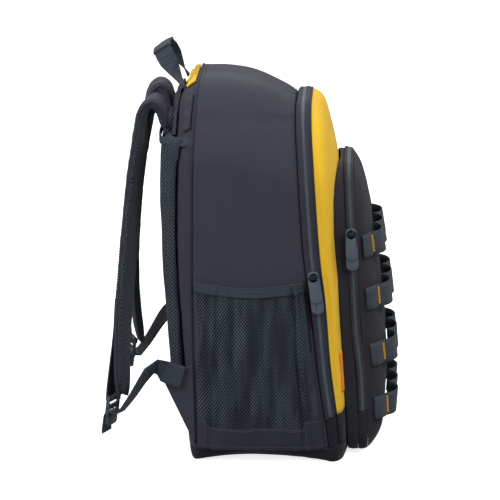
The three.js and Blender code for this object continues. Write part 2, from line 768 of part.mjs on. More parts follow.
// The face's surface at a point: the outline is scaled about its middle until it meets the point
function faceY(x, z) {
  const arch = { half: pocketHalfWidth, crest: pocketHeight, corner: pocketCorner };
  const holds = (scale) => {
    const wideZ = pocketMiddle + (z - pocketMiddle) / scale;
    return Math.abs(x) / scale <= archHalfAt(arch, wideZ) && wideZ >= pocketFoot && wideZ <= pocketHeight;
  };
  let [low, high] = [0.001, 1];
  for (let step = 0; step < 20; step += 1) {
    const scale = (low + high) / 2;
    [low, high] = holds(scale) ? [low, scale] : [scale, high];
  }
  return faceEdgeY(z) - faceCrown(z) * pocketAt(1 - Math.min(high / 0.99, 1)).rise;
}

// One webbing row: flat ends and loops that stand off the pocket between their seams
function webbingRow(height) {
  const loopsHalf = (loopCount * loopPitch) / 2;
  const shares = [-1, -0.93, -0.8, -0.5, 0, 0.5, 0.8, 0.93];
  const ends = spaced(loopsHalf + 4, rowHalfLength, 5);
  const xs = ends.map((x) => -x).reverse();
  for (let loop = 0; loop < loopCount; loop += 1) {
    const middle = -loopsHalf + (loop + 0.5) * loopPitch;
    xs.push(...shares.map((share) => middle + (share * loopPitch) / 2));
  }
  xs.push(loopsHalf, ...ends);
  const bulgeAt = (x) => {
    if (Math.abs(x) >= loopsHalf) {
      return 0;
    }
    const share = (((x + loopsHalf) / loopPitch) % 1) * 2 - 1;
    return loopBulge * (1 - Math.abs(share) ** 3.2);
  };
  const clearAt = (x, z) => sewnClear * Math.hypot(1, faceY(x + 1, z) - faceY(x, z));
  const zs = [height - webbingWidth / 2, height + webbingWidth / 2];
  const inner = zs.map((z) => xs.map((x) => point(x, faceY(x, z) - clearAt(x, z) - bulgeAt(x), z)));
  return solidBetween(movedIn(inner, -webbingWall, point(0, 0, height)), inner);
}

// Side pockets: hem, mesh and elastic share one surface that stands off the side panel

function sidePocketPoint(share, z, wallOut) {
  const depth = mix(0.985, 0.03, share);
  const up = THREE.MathUtils.clamp((z - baseHeight) / (sidePocketTop - baseHeight), 0, 1);
  const belly = Math.sin(Math.PI * Math.min(up * 0.82 + 0.04, 1)) ** 0.6;
  const across = 1 - Math.abs(2 * share - 1) ** 3;
  return sidePoint(depth, z, 0.7 + wallOut + sidePocketBulge * across * belly);
}

function sidePocketPiece(low, high, steps, thickness) {
  const shares = [0, 0.03, 0.09, 0.2, 0.35, 0.5, 0.65, 0.8, 0.91, 0.97, 1];
  const grid = (out) => spaced(0, 1, steps).map((up) => shares.map((share) => {
    return sidePocketPoint(share, mix(low(share), high(share), up), out);
  }));
  return solidBetween(grid(thickness), grid(0));
}

const hemFoot = (share) => baseHeight * ringAt(mix(0.985, 0.03, share)).foot + 1.2;
const hemEdge = (share) => hemTop - 6 * Math.sin(Math.PI * share);
const elasticFoot = (share) => elasticEdge(share) - elasticHeight;

function elasticEdge(share) {
  return sidePocketTop - 5 * Math.sin(Math.PI * share);
}

// Mirrors a left piece to the right side
function mirrored(geometry) {
  const places = Array.from(geometry.attributes.position.array);
  for (let index = 0; index < places.length; index += 3) {
    places[index] = -places[index];
  }
  return closedGeometry(places, Array.from(geometry.index.array));
}

// Shoulder straps

const strapShares = strapRows.map((row, index) => ({ ...row, share: index / (strapRows.length - 1) }));
const strapAt = reader(strapShares, "share");

function strapStation(side, share) {
  const row = strapAt(share);
  const sign = side === "left" ? -1 : 1;
  const billow = strapBillow[side] * Math.sin(Math.PI * THREE.MathUtils.clamp(row.fall, 0, 1));
  const at = point(
    sign * (strapInset + strapSpread * row.spread),
    strapAnchorY + strapReach * row.reach + billow,
    bandTop + gap + 1.5 - strapFall * row.fall,
  );
  const twist = THREE.MathUtils.degToRad(row.twist);
  const across = point(Math.cos(twist), sign * Math.sin(twist), 0);
  return { at, across, width: strapWidth * row.width, thick: row.thick };
}

function shoulderStrap(side) {
  const stations = spaced(0, 1, 28).map((share) => strapStation(side, share));
  return loft(bandSections(stations, strapThickness, 0.6));
}

// The ladder lock's own frame, below the strap's end: down its length, across its bars, and out
function lockFrame(side) {
  const sign = side === "left" ? -1 : 1;
  const end = strapStation(side, 1);
  const tilt = THREE.MathUtils.degToRad(lockTilt);
  const down = point(0, Math.sin(tilt), -Math.cos(tilt));
  const turn = THREE.MathUtils.degToRad(lockTurn);
  const across = point(Math.cos(turn), sign * Math.sin(turn), 0);
  across.addScaledVector(down, -across.dot(down)).normalize();
  const out = across.clone().cross(down);
  const outward = out.y < 0 ? out.negate() : out;
  const top = end.at.clone().add(point(0, lockOut, -lockDrop));
  return { top, down, across, outward };
}

function lockPoint({ top, down, outward }, along, out) {
  return top.clone().addScaledVector(down, along).addScaledVector(outward, out);
}

const lockBar = 5;
const lockSlot = 7;
const lockSlots = [lockBar, lockBar * 2 + lockSlot];

function rectangle(left, right, low, high) {
  const path = new THREE.Path();
  path.moveTo(left, low);
  path.lineTo(right, low);
  path.lineTo(right, high);
  path.lineTo(left, high);
  path.closePath();
  return path;
}

function ladderLock(side) {
  const half = lockWidth / 2;
  const cut = 3;
  const shape = new THREE.Shape();
  shape.moveTo(-half + cut, 0);
  shape.lineTo(half - cut, 0);
  shape.lineTo(half, cut);
  shape.lineTo(half, lockLength * 0.6);
  shape.lineTo(half - cut, lockLength * 0.7);
  shape.lineTo(half - cut, lockLength - cut);
  shape.lineTo(half - cut * 2, lockLength);
  shape.lineTo(-half + cut * 2, lockLength);
  shape.lineTo(-half + cut, lockLength - cut);
  shape.lineTo(-half + cut, lockLength * 0.7);
  shape.lineTo(-half, lockLength * 0.6);
  shape.lineTo(-half, cut);
  shape.closePath();
  lockSlots.forEach((from) => {
    shape.holes.push(rectangle(-lockSlotWidth / 2, lockSlotWidth / 2, from, from + lockSlot));
  });
  const geometry = new THREE.ExtrudeGeometry(shape, { depth: lockThickness, bevelEnabled: false });
  geometry.translate(0, 0, -lockThickness / 2);
  const { top, down, across, outward } = lockFrame(side);
  const basis = across.clone().cross(down).dot(outward) < 0 ? across.clone().negate() : across;
  const matrix = new THREE.Matrix4().makeBasis(basis, down, outward).setPosition(top);
  geometry.applyMatrix4(matrix);
  return geometry;
}

// Tape down the strap's outer face, round the lock's top bar and back up behind it
function strapTape(side) {
  const off = strapThickness / 2 + layClear + webbingWall / 2;
  const onStrap = spaced(tapeStart, tapeEnd, 3).map((share) => {
    const { at, across } = strapStation(side, share);
    const ahead = strapStation(side, share + 0.01).at.sub(strapStation(side, share - 0.01).at);
    const out = across.clone().cross(ahead).normalize();
    return { at: at.addScaledVector(out.y < 0 ? out.negate() : out, off), across };
  });
  const frame = lockFrame(side);
  const face = lockThickness / 2 + gap * 2 + webbingWall / 2;
  const bend = lockBar + gap + webbingWall / 2;
  const round = [
    [-4, face + 0.6],
    [0, face],
    [bend - 1, face],
    [bend, face - 1.6],
    [bend, -face + 1.6],
    [bend - 1, -face],
    [0, -face],
  ].map(([along, out]) => ({ at: lockPoint(frame, along, out), across: frame.across }));
  const stations = [...onStrap, ...round];
  return webbing(stations.map((station) => ({ ...station, width: webbingWidth })));
}

// Lower webbing from the wing up over its crest, behind the lock, through its lower slot and out
function lowerWebbing(side) {
  const sign = side === "left" ? -1 : 1;
  const frame = lockFrame(side);
  const face = lockThickness / 2 + gap + webbingWall / 2;
  const slot = lockSlots[1] + lockSlot / 2;
  const through = [
    [slot, -lockThickness * 2.6],
    [slot + 1, -lockThickness],
    [slot + 1, 0],
    [slot + 1.2, face - 0.6],
    [slot + 4, face + 1.2],
    [lockLength * 0.8, face + 1],
    [lockLength + tailLength[side] * 0.5, face + 2],
    [lockLength + tailLength[side], face + 1],
  ].map(([along, out]) => ({ at: lockPoint(frame, along, out), across: frame.across }));
  const start = wingPoint(0.35, 0.9);
  start.x = sign * (Math.abs(start.x) + wingWall + gap * 10 + webbingWall / 2);
  const end = through[0].at;
  const route = lowerRows.map((row) => {
    const at = start.clone().lerp(end, row.away);
    at.x = mix(start.x, end.x, THREE.MathUtils.smoothstep(row.away, 0.44, 0.9));
    at.z += lowerRise * row.rise;
    const turn = THREE.MathUtils.degToRad(row.turn);
    const flat = point(0, -0.4 * sign, 0.9 * sign).multiplyScalar(Math.cos(turn));
    return { at, across: flat.addScaledVector(frame.across, Math.sin(turn)).normalize() };
  });
  const stations = [...route, ...through];
  return webbing(stations.map((station) => ({ ...station, width: webbingWidth })));
}

// Lower wing: a cloth triangle that stands back from the side seam; u along it, v across it
function wingPoint(along, up) {
  const top = point(0, bodyY(wingTop, 1) + gap, wingTop);
  const foot = point(0, bodyY(wingFoot, 1) + gap, wingFoot);
  const tip = point(0, bodyY(wingTop, 1) + wingReach, wingTop - 14);
  const seam = foot.clone().lerp(top, up);
  const edge = foot.clone().lerp(tip, up);
  const found = seam.lerp(edge, along);
  const flat = sidePoint(1, found.z, gap);
  return point(flat.x, found.y, found.z);
}

function wing() {
  const alongs = spaced(0, 1, 4);
  const ups = [0.04, 0.3, 0.6, 0.85, 1];
  const grid = (out) => ups.map((up) => alongs.map((along) => {
    const place = wingPoint(along, up);
    place.x -= out;
    return place;
  }));
  return solidBetween(grid(wingWall), grid(0));
}

// Carry handle: two twisted legs and a folded grip, on a plane that leans back

const handleFoot = (x) => {
  const z = backPanel.outline.crest - 13;
  return point(x, panelY(backPanel, x, z) + sewnClear / 2, z + sewnClear / 2);
};

function handlePoint(x, rise) {
  const lean = THREE.MathUtils.degToRad(handleLean);
  return handleFoot(x).add(point(0, rise * Math.sin(lean), rise * Math.cos(lean)));
}

function handleAcross(turn) {
  const lean = THREE.MathUtils.degToRad(handleLean);
  const broad = point(0, Math.cos(lean), -Math.sin(lean));
  const angle = THREE.MathUtils.degToRad(turn);
  return point(-Math.cos(angle), 0, 0).addScaledVector(broad, Math.sin(angle)).normalize();
}

function handleLeg() {
  const rows = [
    { out: 1.0, rise: 0.0, turn: 0 },
    { out: 1.0, rise: 0.22, turn: 8 },
    { out: 0.97, rise: 0.45, turn: 28 },
    { out: 0.9, rise: 0.68, turn: 58 },
    { out: 0.8, rise: 0.85, turn: 80 },
    { out: 0.68, rise: 0.95, turn: 90 },
  ];
  const stations = rows.map(({ out, rise, turn }) => {
    const at = handlePoint(-handleHalfSpan * out, handleRise * rise);
    return { at, across: handleAcross(turn), width: webbingWidth * mix(0.9, 0.8, rise) };
  });
  const endX = -gripHalfLength - gap;
  stations.push({ at: handlePoint(endX, handleRise * 0.975), across: handleAcross(90), width: webbingWidth * 0.78 });
  return webbing(stations, webbingWall + 0.4);
}

function handleGrip() {
  const stations = spaced(-gripHalfLength, gripHalfLength, 8).map((x) => {
    const arch = Math.cos((x / gripHalfLength) * 0.9);
    const at = handlePoint(x, handleRise * mix(0.94, 1.06, arch));
    return { at, across: handleAcross(90), width: webbingWidth * 0.86 };
  });
  return loft(bandSections(stations, gripThickness, 0.5));
}

// Zip sliders and pullers lie on a chain: the frame is down the chain, across it and outwards

function slider(bail) {
  const shape = new THREE.Shape();
  const half = sliderLength / 2;
  shape.moveTo(-half, 0);
  shape.lineTo(half, 0);
  shape.lineTo(half, sliderHeight * 0.6);
  shape.lineTo(half - 1.5, sliderHeight);
  shape.lineTo(half - 3, sliderHeight);
  shape.lineTo(half - 3.6, bail - 0.8);
  shape.lineTo(half - 4.6, bail);
  shape.lineTo(-half + 4.6, bail);
  shape.lineTo(-half + 3.6, bail - 0.8);
  shape.lineTo(-half + 3, sliderHeight);
  shape.lineTo(-half + 1.5, sliderHeight);
  shape.lineTo(-half, sliderHeight * 0.6);
  shape.closePath();
  const geometry = new THREE.ExtrudeGeometry(shape, { depth: sliderWidth, bevelEnabled: false });
  geometry.translate(0, 0, -sliderWidth / 2);
  return geometry.rotateX(Math.PI / 2);
}

function puller(level) {
  const shape = new THREE.Shape();
  const broad = pullerWidth / 2;
  const narrow = broad * 0.86;
  const top = -sliderLength / 2 - 1.2;
  shape.moveTo(top + 4, -narrow);
  shape.lineTo(top + pullerLength - 7, -broad);
  shape.quadraticCurveTo(top + pullerLength - 1, -broad, top + pullerLength, 0);
  shape.quadraticCurveTo(top + pullerLength - 1, broad, top + pullerLength - 7, broad);
  shape.lineTo(top + 4, narrow);
  shape.quadraticCurveTo(top, narrow, top, 0);
  shape.quadraticCurveTo(top, -narrow, top + 4, -narrow);
  const hole = new THREE.Path();
  hole.absellipse(0, 0, sliderLength / 2 - 0.5, sliderWidth / 2 + 1.8, 0, Math.PI * 2);
  shape.holes.push(hole);
  const options = { depth: pullerThickness, bevelEnabled: false, curveSegments: 4 };
  return new THREE.ExtrudeGeometry(shape, options).translate(0, 0, level);
}

// Puts a small part on a chain point: its x runs down the chain and its z stands outwards
function onChain(geometry, at, down, outward) {
  const side = outward.clone().cross(down).normalize();
  const stand = down.clone().cross(side).normalize();
  const matrix = new THREE.Matrix4().makeBasis(down, side, stand).setPosition(at);
  return geometry.applyMatrix4(matrix);
}

function mainChain(z) {
  const around = aroundAt(frontPanel.outline, z);
  const at = zipPoint(around, 0.5);
  const ahead = zipPoint(aroundAt(frontPanel.outline, z - sliderLength), 0.5);
  at.x -= gap + 0.2;
  return { at, down: ahead.sub(at).setX(0).normalize(), outward: point(-1, 0, 0) };
}

function pocketChain(z) {
  const at = point(-pocketHalfWidth * 1.004 - gap - 0.2, chainY(z), z);
  const ahead = point(at.x, chainY(z - sliderLength), z - sliderLength);
  return { at, down: ahead.sub(at).normalize(), outward: point(-1, 0, 0) };
}

function zipPull(chain, bail, level) {
  const { at, down, outward } = chain;
  return {
    slider: onChain(slider(bail), at, down, outward),
    puller: onChain(puller(level), at, down, outward),
  };
}

// A folded tag in the seam between the pocket and the front panel
function sideTag() {
  const height = 48;
  const foot = 85;
  const width = 15;
  const zs = spaced(foot, foot + height, 3);
  const xs = spaced(-pocketHalfWidth * 1.006 - gap - 0.6, -pocketHalfWidth - width, 4);
  const grid = (out) => zs.map((z) => xs.map((x) => point(x, panelY(frontPanel, x, z) - gap - 0.3 - out, z)));
  return solidBetween(grid(1.6), grid(0));
}

// A small folded flap over the end of the back seam's zip
function zipFlap() {
  const outline = backPanel.outline;
  const insets = spaced(flapInset, flapInset + flapDepth, 2);
  const grid = (out) => spaced(0.6, 0.74, 3).map((share) => insets.map((inset) => {
    const edge = archPoint(outline, share);
    const inward = point(-edge.x, 0, bodyHeight / 2 - edge.z).normalize();
    const reach = archHalfAt(outline, edge.z) > 0 ? inset : 0;
    const x = -(edge.x + inward.x * (reach - out));
    const z = edge.z + inward.z * (reach - out);
    return point(x, backPanel.edge(z) + backPanel.rise(inset, z) + out * 0.7, z);
  }));
  return solidBetween(grid(flapStand + flapWall), grid(flapStand));
}

function cloth(colour, roughness = 0.85) {
  return new THREE.MeshStandardMaterial({ color: colour, roughness, metalness: 0 });
}

const materials = {
  charcoal: cloth(charcoal),
  slate: cloth(slate, 0.75),
  mesh: cloth(meshGrey, 0.9),
  yellow: cloth(yellow),
  orange: cloth(orange),
  rubber: cloth(rubberGrey, 0.55),
  dark: cloth(0x202226, 0.5),
};

const backpack = new THREE.Group();

function add(name, geometry, material) {
  const mesh = new THREE.Mesh(geometry, materials[material]);
  mesh.name = name;
  backpack.add(mesh);
}

function addPair(name, geometry, material) {
  add(`${name}_left`, geometry, material);
  add(`${name}_right`, mirrored(geometry), material);
}

addPair("side_panel", bodyPanel(0, shoulderSeam), "charcoal");
add("top_panel", bodyPanel(shoulderSeam, archSteps - shoulderSeam), "charcoal");
add("base_panel", basePanel(), "charcoal");
add("back_panel", crownedPanel(backPanel, 0, 1, 12, clothWall), "charcoal");
add("back_pad", backPad(), "mesh");
add("back_yoke", backYoke(), "charcoal");
add("strap_band", strapBand(), "slate");
add("top_strip", topStrip(), "yellow");

const zipFootAround = aroundAt(frontPanel.outline, yellowFoot);
const kickShare = (zipFootAround * 2) / crestStart;
const kickGap = (gap / 2 / (frontHeight - shoulderDrop - frontFoot)) * (sideEnd / crestStart);
const zipGap = kickGap * (crestStart / 2);
add("main_zip_band", zipRing(zipFootAround + zipGap, 1 - zipFootAround - zipGap, 32), "slate");
addPair("zip_foot", zipRing(0, zipFootAround - zipGap, 3), "charcoal");
add("front_panel", crownedPanel(frontPanel, kickShare + kickGap, 1, 13, clothWall), "yellow");
add("front_kick", crownedPanel(frontPanel, 0, kickShare - kickGap, 2, clothWall), "charcoal");

const lastZip = pocket.stations.length - pocket.zipStart;
add("pocket_gusset", pocketGusset(), "charcoal");
add("pocket_zip_band", pocketZipPiece(pocket.zipStart, lastZip, gap / 2), "slate");
add("pocket_hem", pocketZipPiece(-pocket.zipStart, pocket.zipStart, -gap / 2), "charcoal");
add("pocket_face", pocketFace(), "charcoal");
rowHeights.forEach((height, index) => add(`webbing_row_${index + 1}`, webbingRow(height), "slate"));

addPair("side_pocket_hem", sidePocketPiece(hemFoot, hemEdge, 2, sidePocketWall), "charcoal");
const meshFoot = (share) => hemEdge(share) + gap;
const meshTop = (share) => elasticFoot(share) - gap;
addPair("side_pocket_mesh", sidePocketPiece(meshFoot, meshTop, 5, sidePocketWall), "mesh");
addPair("side_pocket_elastic", sidePocketPiece(elasticFoot, elasticEdge, 1, elasticWall), "slate");

["left", "right"].forEach((side) => {
  add(`shoulder_strap_${side}`, shoulderStrap(side), "charcoal");
  add(`strap_tape_${side}`, strapTape(side), "slate");
  add(`ladder_lock_${side}`, ladderLock(side), "rubber");
  add(`lower_webbing_${side}`, lowerWebbing(side), "slate");
});
addPair("lower_wing", wing(), "charcoal");

addPair("handle_leg", handleLeg(), "slate");
add("handle_grip", handleGrip(), "slate");
addPair("zip_flap", zipFlap(), "charcoal");

const under = sliderHeight + gap;
const over = under + pullerThickness + gap;
const mainUpper = zipPull(mainChain(mainSliderHeight), over + pullerThickness + 0.6, over);
const mainLower = zipPull(mainChain(mainSliderHeight - sliderLength - 1), over - 0.2, under);
add("main_slider_upper", mainUpper.slider, "dark");
add("main_puller_upper", mainUpper.puller, "rubber");
add("main_slider_lower", mainLower.slider, "dark");
add("main_puller_lower", mainLower.puller, "rubber");
const pocketUpper = zipPull(pocketChain(pocketSliderHeight), over + pullerThickness + 0.6, over);
const pocketLower = zipPull(pocketChain(pocketSliderHeight - sliderLength - 1), over - 0.2, under);
add("pocket_slider_upper", pocketUpper.slider, "dark");
add("pocket_puller_upper", pocketUpper.puller, "rubber");
add("pocket_slider_lower", pocketLower.slider, "dark");
add("pocket_puller_lower", pocketLower.puller, "rubber");
add("side_tag", sideTag(), "orange");

export default backpack;
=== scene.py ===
import bisect
import math

import bmesh
import bpy
import numpy as np
from mathutils import Matrix, Vector, noise
from mathutils.bvhtree import BVHTree
from mathutils.kdtree import KDTree


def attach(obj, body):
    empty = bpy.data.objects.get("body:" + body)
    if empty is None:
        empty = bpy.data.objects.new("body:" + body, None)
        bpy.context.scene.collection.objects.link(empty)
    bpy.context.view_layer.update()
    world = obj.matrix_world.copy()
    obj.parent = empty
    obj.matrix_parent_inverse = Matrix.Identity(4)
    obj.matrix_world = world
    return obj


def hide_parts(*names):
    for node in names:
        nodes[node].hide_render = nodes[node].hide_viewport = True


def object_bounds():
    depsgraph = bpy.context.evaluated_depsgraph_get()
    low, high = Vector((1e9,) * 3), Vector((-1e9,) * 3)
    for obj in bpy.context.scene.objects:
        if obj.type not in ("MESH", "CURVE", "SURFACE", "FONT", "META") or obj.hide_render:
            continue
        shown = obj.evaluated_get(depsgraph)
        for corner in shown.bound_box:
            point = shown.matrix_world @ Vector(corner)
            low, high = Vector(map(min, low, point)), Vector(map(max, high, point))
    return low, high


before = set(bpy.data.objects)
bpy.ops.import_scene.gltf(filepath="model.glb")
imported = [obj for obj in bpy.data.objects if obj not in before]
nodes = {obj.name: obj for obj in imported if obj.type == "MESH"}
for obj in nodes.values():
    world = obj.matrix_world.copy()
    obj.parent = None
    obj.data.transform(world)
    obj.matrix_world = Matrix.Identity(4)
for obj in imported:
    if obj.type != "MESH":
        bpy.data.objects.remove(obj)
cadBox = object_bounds()
mm = 0.001


def addObject(data, name):
    obj = bpy.data.objects.new(name, data)
    bpy.context.scene.collection.objects.link(obj)
    return obj


def fresh(points, faces, name):
    mesh = bpy.data.meshes.new(name)
    mesh.from_pydata([tuple(p) for p in points], [], faces)
    mesh.update()
    return addObject(mesh, name)


# Shader building: a Reading is one socket's value, a Finish is one material
class Reading:
    def __init__(self, finish, socket):
        self.finish = finish
        self.socket = socket

    def __add__(self, other):
        return self.finish.maths("ADD", self, other)

    def __sub__(self, other):
        return self.finish.maths("SUBTRACT", self, other)

    def __rsub__(self, other):
        return self.finish.maths("SUBTRACT", other, self)

    def __mul__(self, other):
        return self.finish.maths("MULTIPLY", self, other)

    __radd__ = __add__
    __rmul__ = __mul__


class Finish:
    def __init__(self, name):
        self.material = bpy.data.materials.new(name)
        self.material.use_nodes = True
        self.tree = self.material.node_tree
        self.tree.nodes.clear()
        self.shader = self.tree.nodes.new("ShaderNodeBsdfPrincipled")
        output = self.tree.nodes.new("ShaderNodeOutputMaterial")
        self.tree.links.new(self.shader.outputs[0], output.inputs[0])

    def feed(self, socket, value):
        if isinstance(value, Reading):
            self.tree.links.new(value.socket, socket)
        elif value is not None:
            socket.default_value = value

    def add(self, kind, settings=None, sockets=None, outlet=0):
        node = self.tree.nodes.new(kind)
        for key, value in (settings or {}).items():
            setattr(node, key, value)
        for key, value in (sockets or {}).items():
            self.feed(node.inputs[key], value)
        return Reading(self, node.outputs[outlet])

    def maths(self, operation, first, second=None):
        return self.add("ShaderNodeMath", {"operation": operation}, {0: first, 1: second})

    def blend(self, amount, first, second):
        return self.add("ShaderNodeMix", {"data_type": "RGBA"}, {"Factor": amount, 6: first, 7: second}, 2)

    # The piece's own map, in metres: the whole of it, and its two directions
    def clothMap(self):
        flat = self.add("ShaderNodeUVMap", {"uv_map": "cloth"})
        parts = self.tree.nodes.new("ShaderNodeSeparateXYZ")
        self.feed(parts.inputs[0], flat)
        return flat, Reading(self, parts.outputs[0]), Reading(self, parts.outputs[1])

    # Ribs or threads: a wave from 0 to 1 that repeats at a pitch in millimetres
    def wave(self, along, pitch):
        return self.maths("SINE", along * (2 * math.pi / (pitch * mm))) * 0.5 + 0.5

    def cloud(self, scale, detail=2.0, place=None):
        place = place or self.add("ShaderNodeTexCoord", outlet=3)
        return self.add("ShaderNodeTexNoise", {}, {"Vector": place, "Scale": scale, "Detail": detail})

    def close(self, colour, roughness, height=None, lift=0.3, depth=0.001, **fixed):
        self.feed(self.shader.inputs["Base Color"], colour)
        self.feed(self.shader.inputs["Roughness"], roughness)
        for key, value in fixed.items():
            self.shader.inputs[key.replace("_", " ")].default_value = value
        if height is not None:
            bump = self.add("ShaderNodeBump", {}, {"Strength": lift, "Distance": depth, "Height": height})
            self.feed(self.shader.inputs["Normal"], bump)
        return self.material


def shade(colour, factor):
    return tuple(channel * factor for channel in colour) + (1,)


# Threads run along both directions of the piece's own map, which is in metres
def wovenCloth(name, colour, thread=0.62, lift=0.35, roughness=0.86, patch=0.16, sheen=0.06):
    finish = Finish(name)
    _, u, v = finish.clothMap()
    turns = math.pi / (thread * mm)
    weave = finish.maths("SINE", u * turns) * finish.maths("SINE", v * turns) * 0.5 + 0.5
    slubs = finish.cloud(900, 2)
    soft = finish.cloud(9, 3)
    dust = finish.cloud(55, 3)
    base = finish.blend(soft, shade(colour, 1 - patch), shade(colour, 1 + patch))
    worn = finish.blend(dust * 0.35, base, shade(colour, 1.35))
    threads = finish.blend(weave * 0.5 + slubs * 0.25, shade(colour, 0.72), shade(colour, 1.25))
    tint = finish.blend(0.45, worn, threads)
    height = weave * 0.7 + slubs * 0.5
    return finish.close(tint, roughness + (slubs - 0.5) * 0.12, height, lift, 0.0004,
                        Sheen_Weight=sheen, Sheen_Roughness=0.5, Specular_IOR_Level=0.25)


# Webbing shows ribs across its width; the map's second direction runs along the band
def ribbedTape(name, colour, rib=1.5, lift=0.6, roughness=0.68, turned=False):
    finish = Finish(name)
    _, u, v = finish.clothMap()
    ribs = finish.wave(u if turned else v, rib)
    yarn = finish.wave(v if turned else u, rib / 0.75)
    slubs = finish.cloud(700, 2)
    soft = finish.cloud(14, 3)
    base = finish.blend(soft, shade(colour, 0.82), shade(colour, 1.2))
    lines = finish.blend(ribs * 0.7 + yarn * 0.2, shade(colour, 0.6), shade(colour, 1.4))
    tint = finish.blend(0.5, base, lines)
    return finish.close(tint, roughness + slubs * 0.1, ribs * 0.8 + yarn * 0.3 + slubs * 0.2, lift, 0.0005,
                        Sheen_Weight=0.08, Specular_IOR_Level=0.35)


# Net yarn: the same ribs, with painted shade and painted light in soft vertical bands that stand in for the
# shading of the net's folds
def netWithPaintedFolds(name, colour, rib=0.8, lift=0.3):
    finish = Finish(name)
    flat, _, v = finish.clothMap()
    ribs = finish.wave(v, rib)
    tall = finish.add("ShaderNodeMapping", {}, {"Vector": flat, "Scale": (1, 0.16, 1)})
    paintedFoldShade = finish.add("ShaderNodeMapRange", {"interpolation_type": "SMOOTHSTEP"},
                         {"Value": finish.cloud(62, 2, tall), "From Min": 0.36, "From Max": 0.66})
    tint = finish.blend(paintedFoldShade, shade(colour, 0.5), shade(colour, 1.55))
    return finish.close(tint, 0.7, ribs, lift, 0.0005, Sheen_Weight=0.05, Specular_IOR_Level=0.3)


# Spacer mesh: rows of small round holes, staggered
def airMesh(name, colour, hole=4.8, lift=0.9):
    finish = Finish(name)
    _, u, v = finish.clothMap()
    turn = math.pi / (hole * mm)
    first, second = (finish.maths("ABSOLUTE", finish.maths("SINE", slope * turn))
                     for slope in (u * 1.15 + v, u * 1.15 - v))
    openPart = finish.add("ShaderNodeMapRange", {"interpolation_type": "SMOOTHSTEP"},
                          {"Value": first * second, "From Min": 0.28, "From Max": 0.62})
    fluff = finish.cloud(800, 2)
    soft = finish.cloud(16, 3)
    yarn = finish.blend(soft, shade(colour, 1.1), shade(colour, 1.7))
    # The holes are painted nearly black: painted shade in the holes
    tint = finish.blend(openPart, yarn, shade(colour, 0.12))
    return finish.close(tint, 0.85 + fluff * 0.1, (1 - openPart) * 0.9 + fluff * 0.15, lift, 0.0011,
                        Sheen_Weight=0.1, Specular_IOR_Level=0.25)


# Moulded rubber and plastic: a fine satin grain with rubbed, slightly paler patches
def mouldedFinish(name, colour, grain=650, roughness=0.42, lift=0.12, metal=0.0):
    finish = Finish(name)
    fine = finish.cloud(grain, 2)
    soft = finish.cloud(40, 4)
    tint = finish.blend(soft, shade(colour, 0.85), shade(colour, 1.2))
    return finish.close(tint, roughness + (soft - 0.5) * 0.25 + fine * 0.06, fine, lift, 0.0003,
                        Metallic=metal, Specular_IOR_Level=0.5)


inks = {
    "charcoal": (0.036, 0.036, 0.055),
    "charcoalDeep": (0.026, 0.026, 0.039),
    # painted shade: the cloth behind the net, near black, standing in for the net's shadow
    "netPaintedShade": (0.012, 0.012, 0.017),
    "pocketFront": (0.018, 0.018, 0.026),
    # painted shade: much darker than the body cloth, for the base and the low parts that face down
    "foot": (0.010, 0.010, 0.016),
    "slate": (0.028, 0.038, 0.053),
    "mesh": (0.032, 0.043, 0.060),
    "net": (0.040, 0.054, 0.071),
    "yellow": (0.83, 0.505, 0.024),
    "orange": (0.93, 0.30, 0.010),
    "rubber": (0.066, 0.086, 0.115),
    "plastic": (0.032, 0.044, 0.064),
    "thread": (0.060, 0.064, 0.082),
    "brightThread": (0.84, 0.42, 0.01),
    "tape": (0.028, 0.040, 0.052),
    "coil": (0.095, 0.125, 0.150),
    "metal": (0.014, 0.016, 0.020),
}
charcoalCloth = wovenCloth("charcoal cloth", inks["charcoal"])
darkCloth = wovenCloth("dark gusset cloth", inks["charcoalDeep"])
pocketCloth = wovenCloth("pocket front cloth", inks["pocketFront"])
# Painted shade: the base and foot pieces wear a dark cloth made far darker as painted shade
shadedFootCloth = wovenCloth("foot cloth, painted shade", inks["foot"])
# Painted shade: the cloth behind the net is near black where the net shadows it
netShadeLining = wovenCloth("cloth behind the net, painted shade", inks["netPaintedShade"], sheen=0)
yellowCloth = wovenCloth("yellow cloth", inks["yellow"], patch=0.05, sheen=0.05, roughness=0.8)
orangeTape = wovenCloth("orange tape", inks["orange"], thread=0.5, patch=0.05, roughness=0.7)
slateWebbing = ribbedTape("slate webbing", inks["slate"])
zipTape = ribbedTape("zip tape", inks["tape"], rib=1.9, lift=0.5, turned=True)
elasticCloth = wovenCloth("elastic", inks["slate"], thread=0.45, lift=0.2)
spacerMesh = airMesh("spacer mesh", inks["mesh"])
shadedNetYarn = netWithPaintedFolds("net yarn, painted fold shade", inks["net"])
pullerRubber = mouldedFinish("puller rubber", inks["rubber"], roughness=0.5)
lockPlastic = mouldedFinish("lock plastic", inks["plastic"], roughness=0.38)
zipMetal = mouldedFinish("painted slider", inks["metal"], roughness=0.35, metal=0.3)
coilNylon = mouldedFinish("coil nylon", inks["coil"], roughness=0.4)
darkThread = mouldedFinish("dark thread", inks["thread"], roughness=0.75)
yellowThread = mouldedFinish("yellow thread", inks["brightThread"], roughness=0.7)
print("finishes made")


def wear(obj, *finishes):
    obj.data.materials.clear()
    for material in finishes:
        obj.data.materials.append(material)


def readAll(items, key, size=1, kind=float):
    values = np.empty(len(items) * size, dtype=kind)
    items.foreach_get(key, values)
    return values.reshape(-1, size) if size > 1 else values


